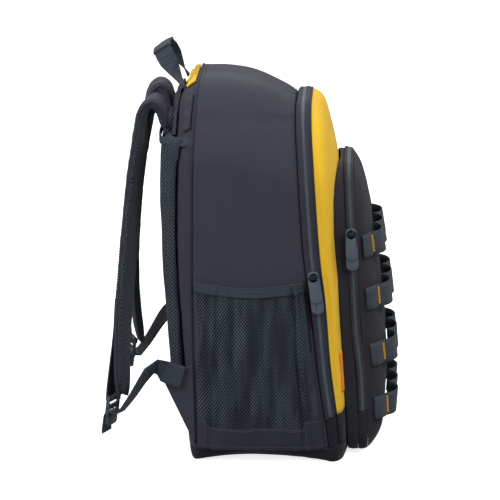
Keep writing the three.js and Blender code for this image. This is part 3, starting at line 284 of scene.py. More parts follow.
# A map in metres, laid on each face from the side that it faces most
def mapFlat(obj, swap=False):
    mesh = obj.data
    layer = mesh.uv_layers.get("cloth") or mesh.uv_layers.new(name="cloth")
    facing = np.abs(readAll(mesh.polygons, "normal", 3)).argmax(axis=1)
    axis = np.repeat(facing, readAll(mesh.polygons, "loop_total", kind=int))
    at = readAll(mesh.vertices, "co", 3)[readAll(mesh.loops, "vertex_index", kind=int)]
    u = np.where(axis == 0, at[:, 1], at[:, 0])
    v = np.where(axis == 2, at[:, 1], at[:, 2])
    layer.data.foreach_set("uv", np.stack([v, u] if swap else [u, v], axis=1).ravel())


def soften(obj):
    obj.data.polygons.foreach_set("use_smooth", [True] * len(obj.data.polygons))
    obj.data.update()


def bake(obj):
    view = bpy.context.evaluated_depsgraph_get()
    made = bpy.data.meshes.new_from_object(obj.evaluated_get(view))
    old = obj.data
    obj.modifiers.clear()
    obj.data = made
    bpy.data.meshes.remove(old)


rimAngle = 42    # degrees, past which an edge between two faces is a rim
joinDistance = 0.00002    # metres


def isRim(edge, angle):
    return edge.is_manifold and edge.calc_face_angle(0) > math.radians(angle)


def sharpen(obj, angle):
    work = bmesh.new()
    work.from_mesh(obj.data)
    for edge in work.edges:
        edge.smooth = not isRim(edge, angle)
    work.to_mesh(obj.data)
    work.free()


# A solid of the frame to work on, with its doubled points joined
def workOn(node):
    work = bmesh.new()
    work.from_mesh(nodes[node].data)
    bmesh.ops.remove_doubles(work, verts=work.verts, dist=joinDistance)
    return work


def objectOf(work, name):
    mesh = bpy.data.meshes.new(name)
    work.to_mesh(mesh)
    work.free()
    return addObject(mesh, name)


# A copy of a solid with its quads restored and its rims kept crisp, then subdivided
def copyOf(node, name, levels):
    work = workOn(node)
    bmesh.ops.join_triangles(work, faces=work.faces, cmp_seam=False, cmp_sharp=False, cmp_uvs=False,
                             cmp_vcols=False, cmp_materials=False, angle_face_threshold=0.7,
                             angle_shape_threshold=3.0)
    layer = work.edges.layers.float.new("crease_edge")
    for edge in work.edges:
        if isRim(edge, rimAngle):
            edge[layer] = 1.0
    obj = objectOf(work, name)
    if levels:
        obj.modifiers.new("smooth", "SUBSURF").levels = levels
        bake(obj)
    return obj


def rimTree(obj, angle=rimAngle):
    work = bmesh.new()
    work.from_mesh(obj.data)
    rims = [v.co.copy() for v in work.verts if any(isRim(edge, angle) for edge in v.link_edges)]
    work.free()
    tree = KDTree(max(len(rims), 1))
    for index, place in enumerate(rims):
        tree.insert(place, index)
    tree.balance()
    return tree, bool(rims)


# Moves both faces of a cloth wall the same way, out from a middle point
def pushCloth(obj, middle, depth, pin):
    mesh = obj.data
    tree, found = rimTree(obj)
    moved = []
    for vertex in mesh.vertices:
        place = vertex.co
        facing = vertex.normal.dot((place - middle).normalized())
        direction = vertex.normal * (1 if facing > 0 else -1)
        hold = min(tree.find(place)[2] / pin, 1.0) if found else 1.0
        hold = hold * hold * (3 - 2 * hold)
        moved.append(place + direction * (depth(place) * hold))
    for vertex, place in zip(mesh.vertices, moved):
        vertex.co = place
    mesh.update()


# Soft folds: noise stretched along one direction, in metres
def folds(size, depth, stretch, seed):
    def read(place):
        at = Vector((place.x * stretch[0], place.y * stretch[1], place.z * stretch[2])) / size
        at += Vector((seed, seed * 1.7, seed * 0.6))
        return depth * (noise.noise(at) + 0.45 * noise.noise(at * 2.3 + Vector((5, 1, 3))))
    return read


# Clothes a piece, ties it to the root and hides the solids whose place it takes
def finishPiece(obj, slotName, *replaced, material=None, swap=False, keepMap=False):
    if material:
        wear(obj, material)
    if not keepMap:
        mapFlat(obj, swap)
    soften(obj)
    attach(obj, "root")
    if replaced:
        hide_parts(*replaced)
    return obj


# A sewn piece over its solid: subdivided, with folds (size, depth, stretch, seed) away from its rims
def sewnPiece(node, name, facts, material, slotName="charcoal_cloth"):
    piece = copyOf(node, name, facts["levels"])
    reads = [folds(*row) for row in facts["folds"]]
    pushCloth(piece, Vector(facts["middle"]), lambda at: sum(read(at) for read in reads), facts["pin"])
    if "shift" in facts:
        piece.data.transform(Matrix.Translation(facts["shift"]))
    return finishPiece(piece, slotName, node, material=material)


# The pack's own lines, from the same sizes as its solids (millimetres)
packLines = {
    "height": 458, "width": 314, "depth": 134, "cornerWidth": 106, "cornerDrop": 94, "cornerPower": 1.8,
    "base": 17.5, "zipBand": 19, "zipCrown": 2.5, "frontHalf": 152, "frontHeight": 430, "frontFoot": 25,
    "yellowFoot": 61, "seam": 0.9, "wall": 2.2,
}
seamRows = [
    {"height": 0.0, "front": -0.567, "back": 0.657, "bow": 0.955, "zip": 0.7},
    {"height": 0.11, "front": -0.519, "back": 0.664, "bow": 0.98, "zip": 0.78},
    {"height": 0.26, "front": -0.44, "back": 0.679, "bow": 0.995, "zip": 0.86},
    {"height": 0.45, "front": -0.369, "back": 0.687, "bow": 1.0, "zip": 0.96},
    {"height": 0.545, "front": -0.321, "back": 0.687, "bow": 1.0, "zip": 1.0},
    {"height": 0.8, "front": -0.254, "back": 0.679, "bow": 0.995, "zip": 1.0},
    {"height": 0.92, "front": -0.224, "back": 0.664, "bow": 0.995, "zip": 1.0},
    {"height": 1.0, "front": -0.224, "back": 0.649, "bow": 0.995, "zip": 1.0},
]
ringRows = [
    {"depth": 0.0, "crest": 0.93, "width": 0.985, "foot": 0.97},
    {"depth": 0.14, "crest": 0.952, "width": 0.995, "foot": 0.86},
    {"depth": 0.37, "crest": 0.98, "width": 1.0, "foot": 0.85},
    {"depth": 0.66, "crest": 0.996, "width": 1.0, "foot": 0.85},
    {"depth": 0.9, "crest": 1.0, "width": 0.995, "foot": 0.9},
    {"depth": 1.0, "crest": 1.0, "width": 0.985, "foot": 1.0},
]


def mix(a, b, t):
    return a + (b - a) * t


def spaced(start, end, steps):
    return [mix(start, end, index / steps) for index in range(steps + 1)]


def tableReader(rows, key):
    keys = [row[key] for row in rows]
    names = [name for name in rows[0] if name != key]
    last = len(keys) - 1

    def read(at):
        at = min(max(at, keys[0]), keys[-1])
        after = min(max(bisect.bisect_right(keys, at), 1), last)
        before = after - 1
        start, end = keys[before], keys[after]
        p = (at - start) / (end - start)
        previous, previousKey = (before - 1, keys[before - 1]) if before else (after, end)
        following, followingKey = (after + 1, keys[after + 1]) if after < last else (before, start)
        weightBefore = (end - start) / 2 / (start - previousKey)
        weightAfter = (end - start) / 2 / (followingKey - end)
        pp, ppp = p * p, p * p * p
        shares = (
            (previous, -weightBefore * ppp + 2 * weightBefore * pp - weightBefore * p),
            (before, (1 + weightBefore) * ppp + (-1.5 - 2 * weightBefore) * pp
             + (weightBefore - 0.5) * p + 1),
            (after, (-1 - weightAfter) * ppp + (1.5 + weightAfter) * pp + 0.5 * p),
            (following, weightAfter * ppp - weightAfter * pp),
        )
        return {name: sum(rows[row][name] * share for row, share in shares) for name in names}
    return read


seamAt = tableReader(seamRows, "height")
ringAt = tableReader(ringRows, "depth")
sideEnd, crestStart = 0.45, 0.88


def archPoint(half, crest, foot, share):
    width, drop, power = (packLines[k] for k in ("cornerWidth", "cornerDrop", "cornerPower"))
    spring = crest - drop
    if share <= sideEnd:
        return half, mix(foot, spring, share / sideEnd)
    if share >= crestStart:
        return mix(half - width, 0, (share - crestStart) / (1 - crestStart)), crest
    angle = (share - sideEnd) / (crestStart - sideEnd) * math.pi / 2
    return (half - width + width * max(math.cos(angle), 0) ** (2 / power),
            spring + drop * math.sin(angle) ** (2 / power))


def bodyY(z, depth):
    row = seamAt(z / packLines["height"])
    return packLines["depth"] * mix(row["front"], row["back"], depth)


def bodyPoint(around, depth):
    ring = ringAt(depth)
    half = packLines["width"] / 2 * ring["width"]
    x, z = archPoint(half, packLines["height"] * ring["crest"], packLines["base"] * ring["foot"],
                     1 - abs(2 * around - 1))
    side = -1 if around < 0.5 else 1
    return Vector((side * x * seamAt(z / packLines["height"])["bow"], bodyY(z, depth), z))


def frontEdge(around):
    x, z = archPoint(packLines["frontHalf"], packLines["frontHeight"], packLines["frontFoot"],
                     1 - abs(2 * around - 1))
    side = -1 if around < 0.5 else 1
    row = seamAt(z / packLines["height"])
    return Vector((side * x * row["bow"], bodyY(z, 0) - packLines["zipBand"] * row["zip"], z))


def zipPoint(around, share, out=0.0):
    back = bodyPoint(around, 0)
    front = frontEdge(around)
    back.y -= packLines["seam"]
    front.y += packLines["seam"]
    found = back.lerp(front, share)
    outward = Vector((found.x, 0, max(found.z - packLines["height"] / 2, 0))).normalized()
    return found + outward * (packLines["zipCrown"] * math.sin(math.pi * share) + out)


# A closed cloth wall from a grid of outer points, with a map in metres along both directions
def wallPiece(name, grid, thickness, inside, finishes):
    points = np.array([[tuple(p) for p in row] for row in grid]) * mm
    rows, columns = points.shape[:2]
    before = np.concatenate([points[:, :1], points[:, :-1]], axis=1)
    after = np.concatenate([points[:, 1:], points[:, -1:]], axis=1)
    below = np.concatenate([points[:1], points[:-1]])
    above = np.concatenate([points[1:], points[-1:]])
    normals = np.cross(after - before, above - below)
    normals /= np.maximum(np.linalg.norm(normals, axis=2, keepdims=True), 1e-12)
    centre = np.array(inside) * mm
    facing = ((points[rows // 2, columns // 2] - centre) * normals[rows // 2, columns // 2]).sum()
    if facing < 0:
        normals = -normals
    inner = points - normals * thickness * mm
    allPoints = np.concatenate([points.reshape(-1, 3), inner.reshape(-1, 3)])
    count = rows * columns
    faces = []

    def quad(a, b, c, d):
        faces.append((a, b, c, d) if facing > 0 else (d, c, b, a))
    for c in range(columns - 1):
        n = c + 1
        for r in range(rows - 1):
            a, b, d, e = r * columns + c, r * columns + n, (r + 1) * columns + n, (r + 1) * columns + c
            quad(a, b, d, e)
            quad(a + count, e + count, d + count, b + count)
        top = (rows - 1) * columns
        quad(c, c + count, n + count, n)
        quad(top + c, top + n, top + n + count, top + c + count)
    for r in range(rows - 1):
        a, b = r * columns, (r + 1) * columns
        quad(a, b, b + count, a + count)
        a, b = a + columns - 1, b + columns - 1
        quad(a, a + count, b + count, b)
    obj = fresh(allPoints, faces, name)

    def lengthAlong(line):
        return np.concatenate([[0], np.cumsum(np.linalg.norm(np.diff(line, axis=0), axis=1))])
    u = np.tile(lengthAlong(points[:, columns // 2])[:, None], (1, columns)).ravel()
    v = np.tile(lengthAlong(points[rows // 2])[None, :], (rows, 1)).ravel()
    flat = np.stack([u, v], axis=1)[readAll(obj.data.loops, "vertex_index", kind=int) % count]
    obj.data.uv_layers.new(name="cloth").data.foreach_set("uv", flat.ravel())
    wear(obj, *finishes)
    return obj


# Faces round a run of rings of points, with both ends capped
def ringFaces(start, rings, sides):
    faces = []
    for first in range(start, start + (rings - 1) * sides, sides):
        for step in range(sides):
            a, b = first + step, first + (step + 1) % sides
            faces.append((a, b, b + sides, a + sides))
    last = start + (rings - 1) * sides
    return faces + [tuple(reversed(range(start, start + sides))), tuple(range(last, last + sides))]


# Round piping along points (metres)
def piping(name, path, radius, sides=8):
    points = [Vector(p) for p in path]
    count = len(points)
    verts, side = [], None
    for index, place in enumerate(points):
        ahead, behind = points[min(index + 1, count - 1)], points[max(index - 1, 0)]
        run = (ahead - behind).normalized()
        if side is None:
            side = run.orthogonal().normalized()
        side = (side - run * side.dot(run)).normalized()
        up = run.cross(side)
        for step in range(sides):
            angle = 2 * math.pi * step / sides
            verts.append(place + (side * math.cos(angle) + up * math.sin(angle)) * radius)
    finishPiece(fresh(verts, ringFaces(0, count, sides), name), "charcoal_cloth", material=darkCloth)


def resample(path, pitch):
    points = [Vector(p) for p in path]
    lengths = [0.0]
    for a, b in zip(points, points[1:]):
        lengths.append(lengths[-1] + (b - a).length)
    steps = max(int(lengths[-1] / pitch), 1)
    found = []
    for step in range(steps + 1):
        want = lengths[-1] * step / steps
        index = min(max(bisect.bisect_right(lengths, want), 1), len(points) - 1)
        span = lengths[index] - lengths[index - 1]
        found.append(points[index - 1].lerp(points[index], (want - lengths[index - 1]) / span if span else 0))
    return found


def surfaceOf(obj):
    places = [vertex.co.copy() for vertex in obj.data.vertices]
    return BVHTree.FromPolygons(places, [list(face.vertices) for face in obj.data.polygons])


# Sizes of the stitches and of their thread, in metres; its rings go from one tapered end to the other
stitchSizes = {"pitch": 0.0034, "length": 0.0026, "radius": 0.00034}
tackSizes = {"pitch": 0.0019, "length": 0.0022, "radius": 0.00042}
threadLift, threadReach, threadSides = 0.00012, 0.012, 5
threadRings = [
    {"along": -0.5, "girth": 0.35, "rise": -0.6}, {"along": -0.2, "girth": 1, "rise": 0.4},
    {"along": 0.2, "girth": 1, "rise": 0.4}, {"along": 0.5, "girth": 0.35, "rise": -0.6},
]


# Stitches lie on a surface along a path: each is a short piece of thread
def stitchLine(paths, surface, pitch, length, radius):
    verts, faces = [], []
    for path in paths:
        points = resample(path, pitch)
        for a, b in zip(points, points[1:]):
            middle = (a + b) / 2
            hit = surface.find_nearest(middle)
            if hit[0] is None or (hit[0] - middle).length > threadReach:
                continue
            place, normal = hit[0], hit[1]
            run = b - a
            run = (run - normal * run.dot(normal)).normalized()
            side = run.cross(normal)
            faces += ringFaces(len(verts), len(threadRings), threadSides)
            for ring in threadRings:
                core = place + run * (length * ring["along"]) + normal * (threadLift + radius * ring["rise"])
                for step in range(threadSides):
                    angle = 2 * math.pi * step / threadSides
                    out = side * math.cos(angle) + normal * math.sin(angle)
                    verts.append(core + out * radius * ring["girth"])
    return verts, faces


def stitches(name, paths, surface, material=darkThread):
    verts, faces = stitchLine(paths, surface, **stitchSizes)
    finishPiece(fresh(verts, faces, name), "charcoal_cloth", material=material)


bodyInside = (0, 20, 233)    # a point well inside, in millimetres as the walls take it, then in metres
bodyMiddle = Vector((0, 0.02, 0.233))

# Body cloth: side panels and top in one shell, with a lapped seam on each shoulder and a rear hem
bodyCloth = {
    "rows": 46, "columns": 300, "deep": 167, "round": 1120, "seamLine": (433, 431), "seamTilt": 0.2126,
    "held": 14, "fold": 2.3, "foldSize": 80, "foldTall": (1, 0.8, 0.55),
    "dent": 0.8, "dentSize": 30, "dentTall": (1, 1, 0.6),
    "lap": 0.6, "lapEase": 0.8, "groove": 1.1, "grooveWide": 1.6, "dip": 1.3, "dipIn": 16, "dipWide": 13,
    "puckers": 0.22, "puckerPitch": 1.9, "crimp": 0.3, "crimpPitch": 1.5, "crimpIn": 6, "crimpWide": 6,
    "hem": 9, "hemStep": 0.5, "hemEase": 0.7, "hemGroove": 0.45, "hemGrooveWide": 1.3, "hemSeam": 2.5,
    "netFrom": -0.052, "netTo": 0.086, "netTop": 0.212,
}


def outwardAt(place):
    return Vector((place.x, 0, max(place.z - packLines["height"] / 2, 0))).normalized()


def clothNoise(place, size, seed, tall=(1, 1, 1)):
    at = Vector(p * stretch for p, stretch in zip(place, tall))
    return noise.noise(at / size + Vector((seed, seed * 1.7, seed * 0.6)))


def ridge(distance, width):
    return math.exp(-(distance / width) ** 2)


# The seam of side and top: level where a point's height and its way in from the side add up to its line
def seamShare(depth):
    want = mix(*reversed(bodyCloth["seamLine"]), depth)
    low, high = 0.2, 0.5
    for _ in range(18):
        middle = (low + high) / 2
        place = bodyPoint(middle, depth)
        short = place.z + (packLines["width"] / 2 + place.x) * bodyCloth["seamTilt"] < want
        low, high = (middle, high) if short else (low, middle)
    return low


# How far the cloth stands off its line: folds, then the shoulder seam, puckers and the rear hem
def bodyOffset(around, depth, seam, place):
    facts = bodyCloth
    back, front = (1 - depth) * facts["deep"], depth * facts["deep"]
    hold = min(back / facts["held"], front / facts["held"], 1.0)
    total = hold * facts["fold"] * clothNoise(place, facts["foldSize"], 3, facts["foldTall"])
    total += hold * facts["dent"] * clothNoise(place, facts["dentSize"], 8, facts["dentTall"])
    seamGap = (min(around, 1 - around) - seam) * facts["round"]
    total += facts["lap"] / (1 + math.exp(-seamGap / facts["lapEase"])) - facts["lap"]
    total -= facts["groove"] * ridge(seamGap, facts["grooveWide"])
    total -= facts["dip"] * ridge(seamGap + facts["dipIn"], facts["dipWide"]) * hold
    along = around * facts["round"]
    pucker = math.sin(along / facts["puckerPitch"] + 3 * noise.noise(Vector((along / 21, 0, 0))))
    total += facts["puckers"] * pucker * (ridge(back - 12, 7) + ridge(front, 9))
    crimp = facts["crimp"] * math.sin(place.y / facts["crimpPitch"])
    total += crimp * ridge(seamGap + facts["crimpIn"], facts["crimpWide"]) * hold
    hemGap = back - facts["hem"]
    total += facts["hemStep"] / (1 + math.exp(hemGap / facts["hemEase"]))
    return total - facts["hemGroove"] * ridge(hemGap, facts["hemGrooveWide"])


bodyGrid = []
for depth in spaced(0, 1, bodyCloth["rows"]):
    row, seam = [], seamShare(depth)
    for around in spaced(0, 1, bodyCloth["columns"]):
        place = bodyPoint(around, depth)
        row.append(place + outwardAt(place) * bodyOffset(around, depth, seam, place))
    bodyGrid.append(row)
bodyShell = wallPiece("body_cloth", bodyGrid, packLines["wall"], bodyInside, [charcoalCloth, netShadeLining])
for face in bodyShell.data.polygons:
    # Behind the net the cloth is painted darker: painted shade cast by the net and pocket
    if face.center.z < bodyCloth["netTop"] and bodyCloth["netFrom"] < face.center.y < bodyCloth["netTo"]:
        face.material_index = 1
finishPiece(bodyShell, "charcoal_cloth", "side_panel_left", "side_panel_right", "top_panel", keepMap=True)
print("body cloth laid")


def scaled(points):
    return [Vector(p) * mm for p in points]


def bodyLine(depth):
    return scaled([bodyPoint(around, depth) for around in spaced(0, 1, 260)])


hemShare = 1 - (bodyCloth["hem"] - bodyCloth["hemSeam"]) / bodyCloth["deep"]
bodySeams = [bodyLine(hemShare), bodyLine(0.045)]
bodySeams.append(scaled([bodyPoint(seamShare(d) - 0.003, d) for d in spaced(0.03, 0.97, 60)]))
bodySeams.append(scaled([bodyPoint(1.003 - seamShare(d), d) for d in spaced(0.03, 0.97, 60)]))
stitches("body_stitches", bodySeams, surfaceOf(bodyShell))
backEdge = [bodyPoint(around, 1) for around in spaced(0.004, 0.996, 300)]
backEdge = [place + outwardAt(place) * 0.4 + Vector((0, 0.9, 0)) for place in backEdge]
piping("back_piping", scaled(backEdge), 0.0015)

# Main zip: two cloth rolls with the coil in the channel between them
mainZip = {"rows": 28, "columns": 300, "channel": (0.36, 0.66), "roll": 2.6, "strip": 1.5, "floor": -0.9,
           "bed": 0.8, "bedWide": 2.4, "wave": 0.35, "waveSize": 26, "seams": (0.3, 0.7, 0.43, 0.59),
           "toothPitch": 1.9, "toothLength": 3.6, "toothGirth": 0.72, "toothLift": 0.35}


def zipProfile(share, facts):
    low, high = facts["channel"]
    if share < low:
        return facts["roll"] * math.sin(math.pi * share / low) ** 0.7
    if share > high:
        return facts["strip"] * math.sin(math.pi * (share - high) / (1 - high)) ** 0.7
    bed = ridge((share - (low + high) / 2) * packLines["zipBand"], facts["bedWide"])
    return facts["floor"] + facts["bed"] * bed


# The channel between the rolls shows the zip's tape
def showTape(band, facts, columns):
    low, high = facts["channel"]
    for face in band.data.polygons:
        row = sum(i % ((facts["rows"] + 1) * columns) // columns for i in face.vertices) / len(face.vertices)
        if low * facts["rows"] < row < high * facts["rows"]:
            face.material_index = 1


def sideShare(z):
    spring = packLines["frontHeight"] - packLines["cornerDrop"]
    return sideEnd / 2 * (z - packLines["frontFoot"]) / (spring - packLines["frontFoot"])


zipFoot = sideShare(packLines["yellowFoot"]) + 0.0002
zipGrid = []
for share in spaced(0, 1, mainZip["rows"]):
    row = []
    for around in spaced(zipFoot, 1 - zipFoot, mainZip["columns"]):
        place = zipPoint(around, share)
        wave = mainZip["wave"] * clothNoise(place, mainZip["waveSize"], 5) * math.sin(math.pi * share)
        row.append(zipPoint(around, share, zipProfile(share, mainZip) + wave))
    zipGrid.append(row)
mainBand = wallPiece("main_zip_band_cloth", zipGrid, packLines["wall"], bodyInside, [darkCloth, zipTape])
showTape(mainBand, mainZip, mainZip["columns"] + 1)
finishPiece(mainBand, "slate_webbing", "main_zip_band", keepMap=True)


# Coil teeth: short rods laid across the chain, every other one set to the other side
coilStep, toothSides = 0.9, 6
toothRings = [(-1, 0.45), (-0.75, 1), (0.75, 1), (1, 0.45)]    # along the rod, and its girth there


def coilTeeth(name, path, surface, facts):
    verts, faces = [], []
    points = resample(path, facts["toothPitch"] * mm / 2)
    for index in range(1, len(points) - 1):
        hit = surface.find_nearest(points[index])
        place, normal = hit[0], hit[1]
        run = points[index + 1] - points[index - 1]
        run = (run - normal * run.dot(normal)).normalized()
        side = run.cross(normal)
        centre = place + side * (coilStep * mm * (1 if index % 2 else -1))
        centre += normal * (facts["toothLift"] * mm)
        faces += ringFaces(len(verts), len(toothRings), toothSides)
        half = facts["toothLength"] * mm / 2
        for share, girth in toothRings:
            for turn in range(toothSides):
                angle = 2 * math.pi * turn / toothSides
                around = run * math.cos(angle) + normal * math.sin(angle)
                verts.append(centre + side * (half * share) + around * (facts["toothGirth"] * mm / 2 * girth))
    finishPiece(fresh(verts, faces, name), "slate_webbing", material=coilNylon)


zipSurface = surfaceOf(mainBand)
zipMiddle = sum(mainZip["channel"]) / 2
mainChainPath = scaled([zipPoint(a, zipMiddle) for a in spaced(zipFoot, 1 - zipFoot, 400)])
coilTeeth("main_zip_coil", mainChainPath, zipSurface, mainZip)
zipLines = [scaled([zipPoint(a, share, 1) for a in spaced(zipFoot + 0.002, 0.998 - zipFoot, 300)])
            for share in mainZip["seams"]]
stitches("main_zip_stitches", zipLines, zipSurface)
print("main zip made")

# Front: the yellow panel, and the foot below it, in a dark cloth made darker as painted shade
frontCloth = {"levels": 3, "middle": (0, 0.06, 0.22), "pin": 0.016, "seamInset": 4.5, "seamOut": 6,
              "folds": [(0.085, 0.0022, (1, 1, 0.6), 2), (0.028, 0.0007, (1, 1, 0.8), 6)]}
frontFootCloth = {"levels": 2, "middle": (0, 0.06, 0.22), "pin": 0.006,
                  "folds": [(0.03, 0.0008, (1, 1, 1), 4)]}
zipFootCloth = {"levels": 3, "middle": bodyMiddle, "pin": 0.004, "folds": [(0.02, 0.0012, (1, 1, 1), 7)]}
yellowFront = sewnPiece("front_panel", "front_yellow_cloth", frontCloth, yellowCloth, "yellow_cloth")
sewnPiece("front_kick", "front_foot_cloth", frontFootCloth, shadedFootCloth)
for side in ("left", "right"):
    sewnPiece(f"zip_foot_{side}", f"zip_foot_cloth_{side}", zipFootCloth, shadedFootCloth)
seamOut = Vector((0, frontCloth["seamOut"], 0))
yellowSeam = []
for edge in (frontEdge(around) for around in spaced(zipFoot + 0.002, 0.998 - zipFoot, 300)):
    yellowSeam.append(edge - outwardAt(edge) * frontCloth["seamInset"] - seamOut)
stitches("yellow_edge_stitches", [scaled(yellowSeam)], surfaceOf(yellowFront), yellowThread)
yellowEdge = [frontEdge(around) + Vector((0, 0.2, 0)) for around in spaced(zipFoot, 1 - zipFoot, 300)]
piping("front_piping", scaled(yellowEdge), 0.0013)

# Base
baseCloth = {"levels": 2, "middle": (0, 0.01, 0.12), "pin": 0.012, "folds": [(0.05, 0.0007, (1, 1, 1), 9)]}
sewnPiece("base_panel", "base_cloth", baseCloth, shadedFootCloth)
baseLine = scaled([bodyPoint(0, d) + Vector((0, 0, -0.3)) for d in spaced(0, 1, 60)])
piping("base_piping_left", baseLine, 0.0012)
piping("base_piping_right", [Vector((-p.x, p.y, p.z)) for p in baseLine], 0.0012)
print("front and base made")

# Back: panel, yoke, strap band, yellow strip and zip flaps
backCloth = {"levels": 3, "middle": bodyMiddle, "pin": 0.014,
             "folds": [(0.06, 0.0016, (1, 1, 0.5), 11), (0.02, 0.0005, (1, 1, 1), 12)]}
yokeCloth = {"levels": 3, "middle": bodyMiddle, "pin": 0.005,
             "folds": [(0.024, 0.0045, (1.3, 1, 0.35), 13), (0.012, 0.001, (1, 1, 1), 17)]}
stripCloth = {"levels": 3, "middle": bodyMiddle, "pin": 0.0015,
              "folds": [(0.011, 0.0032, (1, 1, 1), 14), (0.005, 0.0009, (1, 1, 1), 15)]}
flapCloth = {"levels": 3, "middle": bodyMiddle, "pin": 0.002, "folds": [(0.011, 0.0022, (1, 1, 1), 16)]}
bandEnds = {"from": 0.128, "over": 0.018}    # metres from the middle, where the band starts to draw in
sewnPiece("back_panel", "back_cloth", backCloth, charcoalCloth)
sewnPiece("back_yoke", "yoke_cloth", yokeCloth, charcoalCloth)
band = copyOf("strap_band", "strap_band_webbing", 2)
for vertex in band.data.vertices:
    # The band's ends follow the body in where it narrows towards the top
    up = min(max((vertex.co.z / mm - packLines["height"]) / packLines["cornerDrop"] + 1, 0), 1)
    kept = (1 - up ** packLines["cornerPower"]) ** (1 / packLines["cornerPower"])
    near = min(max((abs(vertex.co.x) - bandEnds["from"]) / bandEnds["over"], 0), 1)
    drawn = packLines["cornerWidth"] * (1 - kept) * mm * near * near * (3 - 2 * near)
    vertex.co.x -= math.copysign(drawn, vertex.co.x)
finishPiece(band, "slate_webbing", "strap_band", material=slateWebbing, swap=True)
sewnPiece("top_strip", "yellow_strip_cloth", stripCloth, yellowCloth, "yellow_cloth")
for side, inwards in (("left", 0.0018), ("right", -0.0018)):
    facts = {**flapCloth, "shift": (inwards, -0.0012, 0)}
    sewnPiece(f"zip_flap_{side}", f"zip_flap_cloth_{side}", facts, charcoalCloth)
print("back made")

# Front pocket
pocketLines = {"half": 118, "height": 354, "foot": 3, "cornerWidth": 70, "cornerDrop": 74, "zipFoot": 57,
               "zipWidth": 12, "rows": 22, "channel": (0.3, 0.72), "roll": 1.4, "strip": 0.9, "floor": -0.5,
               "bed": 0, "bedWide": 1, "seams": (0.24, 0.78),
               "toothPitch": 1.9, "toothLength": 3.4, "toothGirth": 0.7, "toothLift": 0.3}
chainRows = [
    {"height": 0.0, "chain": -0.862}, {"height": 0.15, "chain": -0.856}, {"height": 0.3, "chain": -0.836},
    {"height": 0.44, "chain": -0.79}, {"height": 0.57, "chain": -0.769}, {"height": 0.76, "chain": -0.745},
    {"height": 1.0, "chain": -0.709},
]
chainAt = tableReader(chainRows, "height")


def chainY(z):
    return packLines["depth"] * chainAt(z / pocketLines["height"])["chain"]


def pocketArch(steps=40):
    facts = pocketLines
    half, width, drop = facts["half"], facts["cornerWidth"], facts["cornerDrop"]
    spring = facts["height"] - drop
    left = [(-half, z) for z in spaced(facts["zipFoot"] + 0.3, spring, steps * 2)]
    left += [(-(half - width + width * math.cos(a)), spring + drop * math.sin(a))
             for a in spaced(0, math.pi / 2, steps)[1:]]
    left += [(x, facts["height"]) for x in spaced(-(half - width), 0, steps // 2)[1:]]
    return left + [(-x, z) for x, z in reversed(left[:-1])]


def pocketRim(x, z, share, out=0.0):
    middle = (pocketLines["foot"] + pocketLines["height"]) / 2
    scale = 1 + 0.004 * math.sin(math.pi * min(share * 1.3, 1)) - 0.01 * max(share - 0.6, 0) / 0.4
    outward = Vector((x, 0, max(z - 250, 0) * 1.2)).normalized()
    place = Vector((x * scale, chainY(z) + pocketLines["zipWidth"] * (0.5 - share) - 0.3 * (1 - share),
                    middle + (z - middle) * scale))
    return place + outward * out


archOfPocket = pocketArch()
pocketGrid = [[pocketRim(x, z, share, zipProfile(share, pocketLines)) for x, z in archOfPocket]
              for share in spaced(0, 1, pocketLines["rows"])]
pocketBand = wallPiece("pocket_zip_band_cloth", pocketGrid, 1.6, (0, -105, 187), [darkCloth, zipTape])
showTape(pocketBand, pocketLines, len(archOfPocket))
finishPiece(pocketBand, "slate_webbing", "pocket_zip_band", keepMap=True)
pocketSurface = surfaceOf(pocketBand)
pocketMiddleShare = sum(pocketLines["channel"]) / 2
pocketChainPath = scaled([pocketRim(x, z, pocketMiddleShare) for x, z in archOfPocket])
coilTeeth("pocket_zip_coil", pocketChainPath, pocketSurface, pocketLines)
stitches("pocket_zip_stitches", [scaled([pocketRim(x, z, share, 1) for x, z in archOfPocket])
                                 for share in pocketLines["seams"]], pocketSurface)

pocketMiddle = (0, -0.09, 0.18)
gussetCloth = {"levels": 2, "middle": pocketMiddle, "pin": 0.005,
               "folds": [(0.05, 0.0014, (1, 2.5, 0.5), 21), (0.016, 0.0004, (1, 1, 1), 22)]}
pocketFootCloth = {"levels": 2, "middle": pocketMiddle, "pin": 0.004,
                   "folds": [(0.02, 0.0007, (1, 1, 1), 23)]}
pocketFaceCloth = {"levels": 3, "middle": (0, 0.05, 0.18), "pin": 0.012,
                   "folds": [(0.06, 0.0016, (0.7, 1, 1), 24), (0.022, 0.0006, (1, 1, 1), 25)]}
sewnPiece("pocket_gusset", "pocket_gusset_cloth", gussetCloth, darkCloth)
sewnPiece("pocket_hem", "pocket_foot_cloth", pocketFootCloth, pocketCloth)
sewnPiece("pocket_face", "pocket_front_cloth", pocketFaceCloth, pocketCloth)

# Webbing rows with yellow bartacks at the loop ends
webbingRows = {"heights": (59, 126, 196, 261), "tacks": (-90, -30, 30, 90), "tackHalf": 10.5,
               "threads": (-0.6, 0, 0.6)}
rowObjects = []
for number in range(1, len(webbingRows["heights"]) + 1):
    row = copyOf(f"webbing_row_{number}", f"front_webbing_{number}", 2)
    finishPiece(row, "slate_webbing", f"webbing_row_{number}", material=slateWebbing, swap=True)
    rowObjects.append(row)
tackVerts, tackFaces = [], []
for row, height in zip(rowObjects, webbingRows["heights"]):
    surface = surfaceOf(row)
    for x in (tack + shift for tack in webbingRows["tacks"] for shift in webbingRows["threads"]):
        heights = spaced(height - webbingRows["tackHalf"], height + webbingRows["tackHalf"], 16)
        hits = [surface.ray_cast(Vector((x * mm, -0.25, z * mm)), Vector((0, 1, 0)))[0] for z in heights]
        path = [hit for hit in hits if hit is not None]
        if len(path) > 4:
            verts, faces = stitchLine([path], surface, **tackSizes)
            tackFaces += [tuple(i + len(tackVerts) for i in face) for face in faces]
            tackVerts += verts
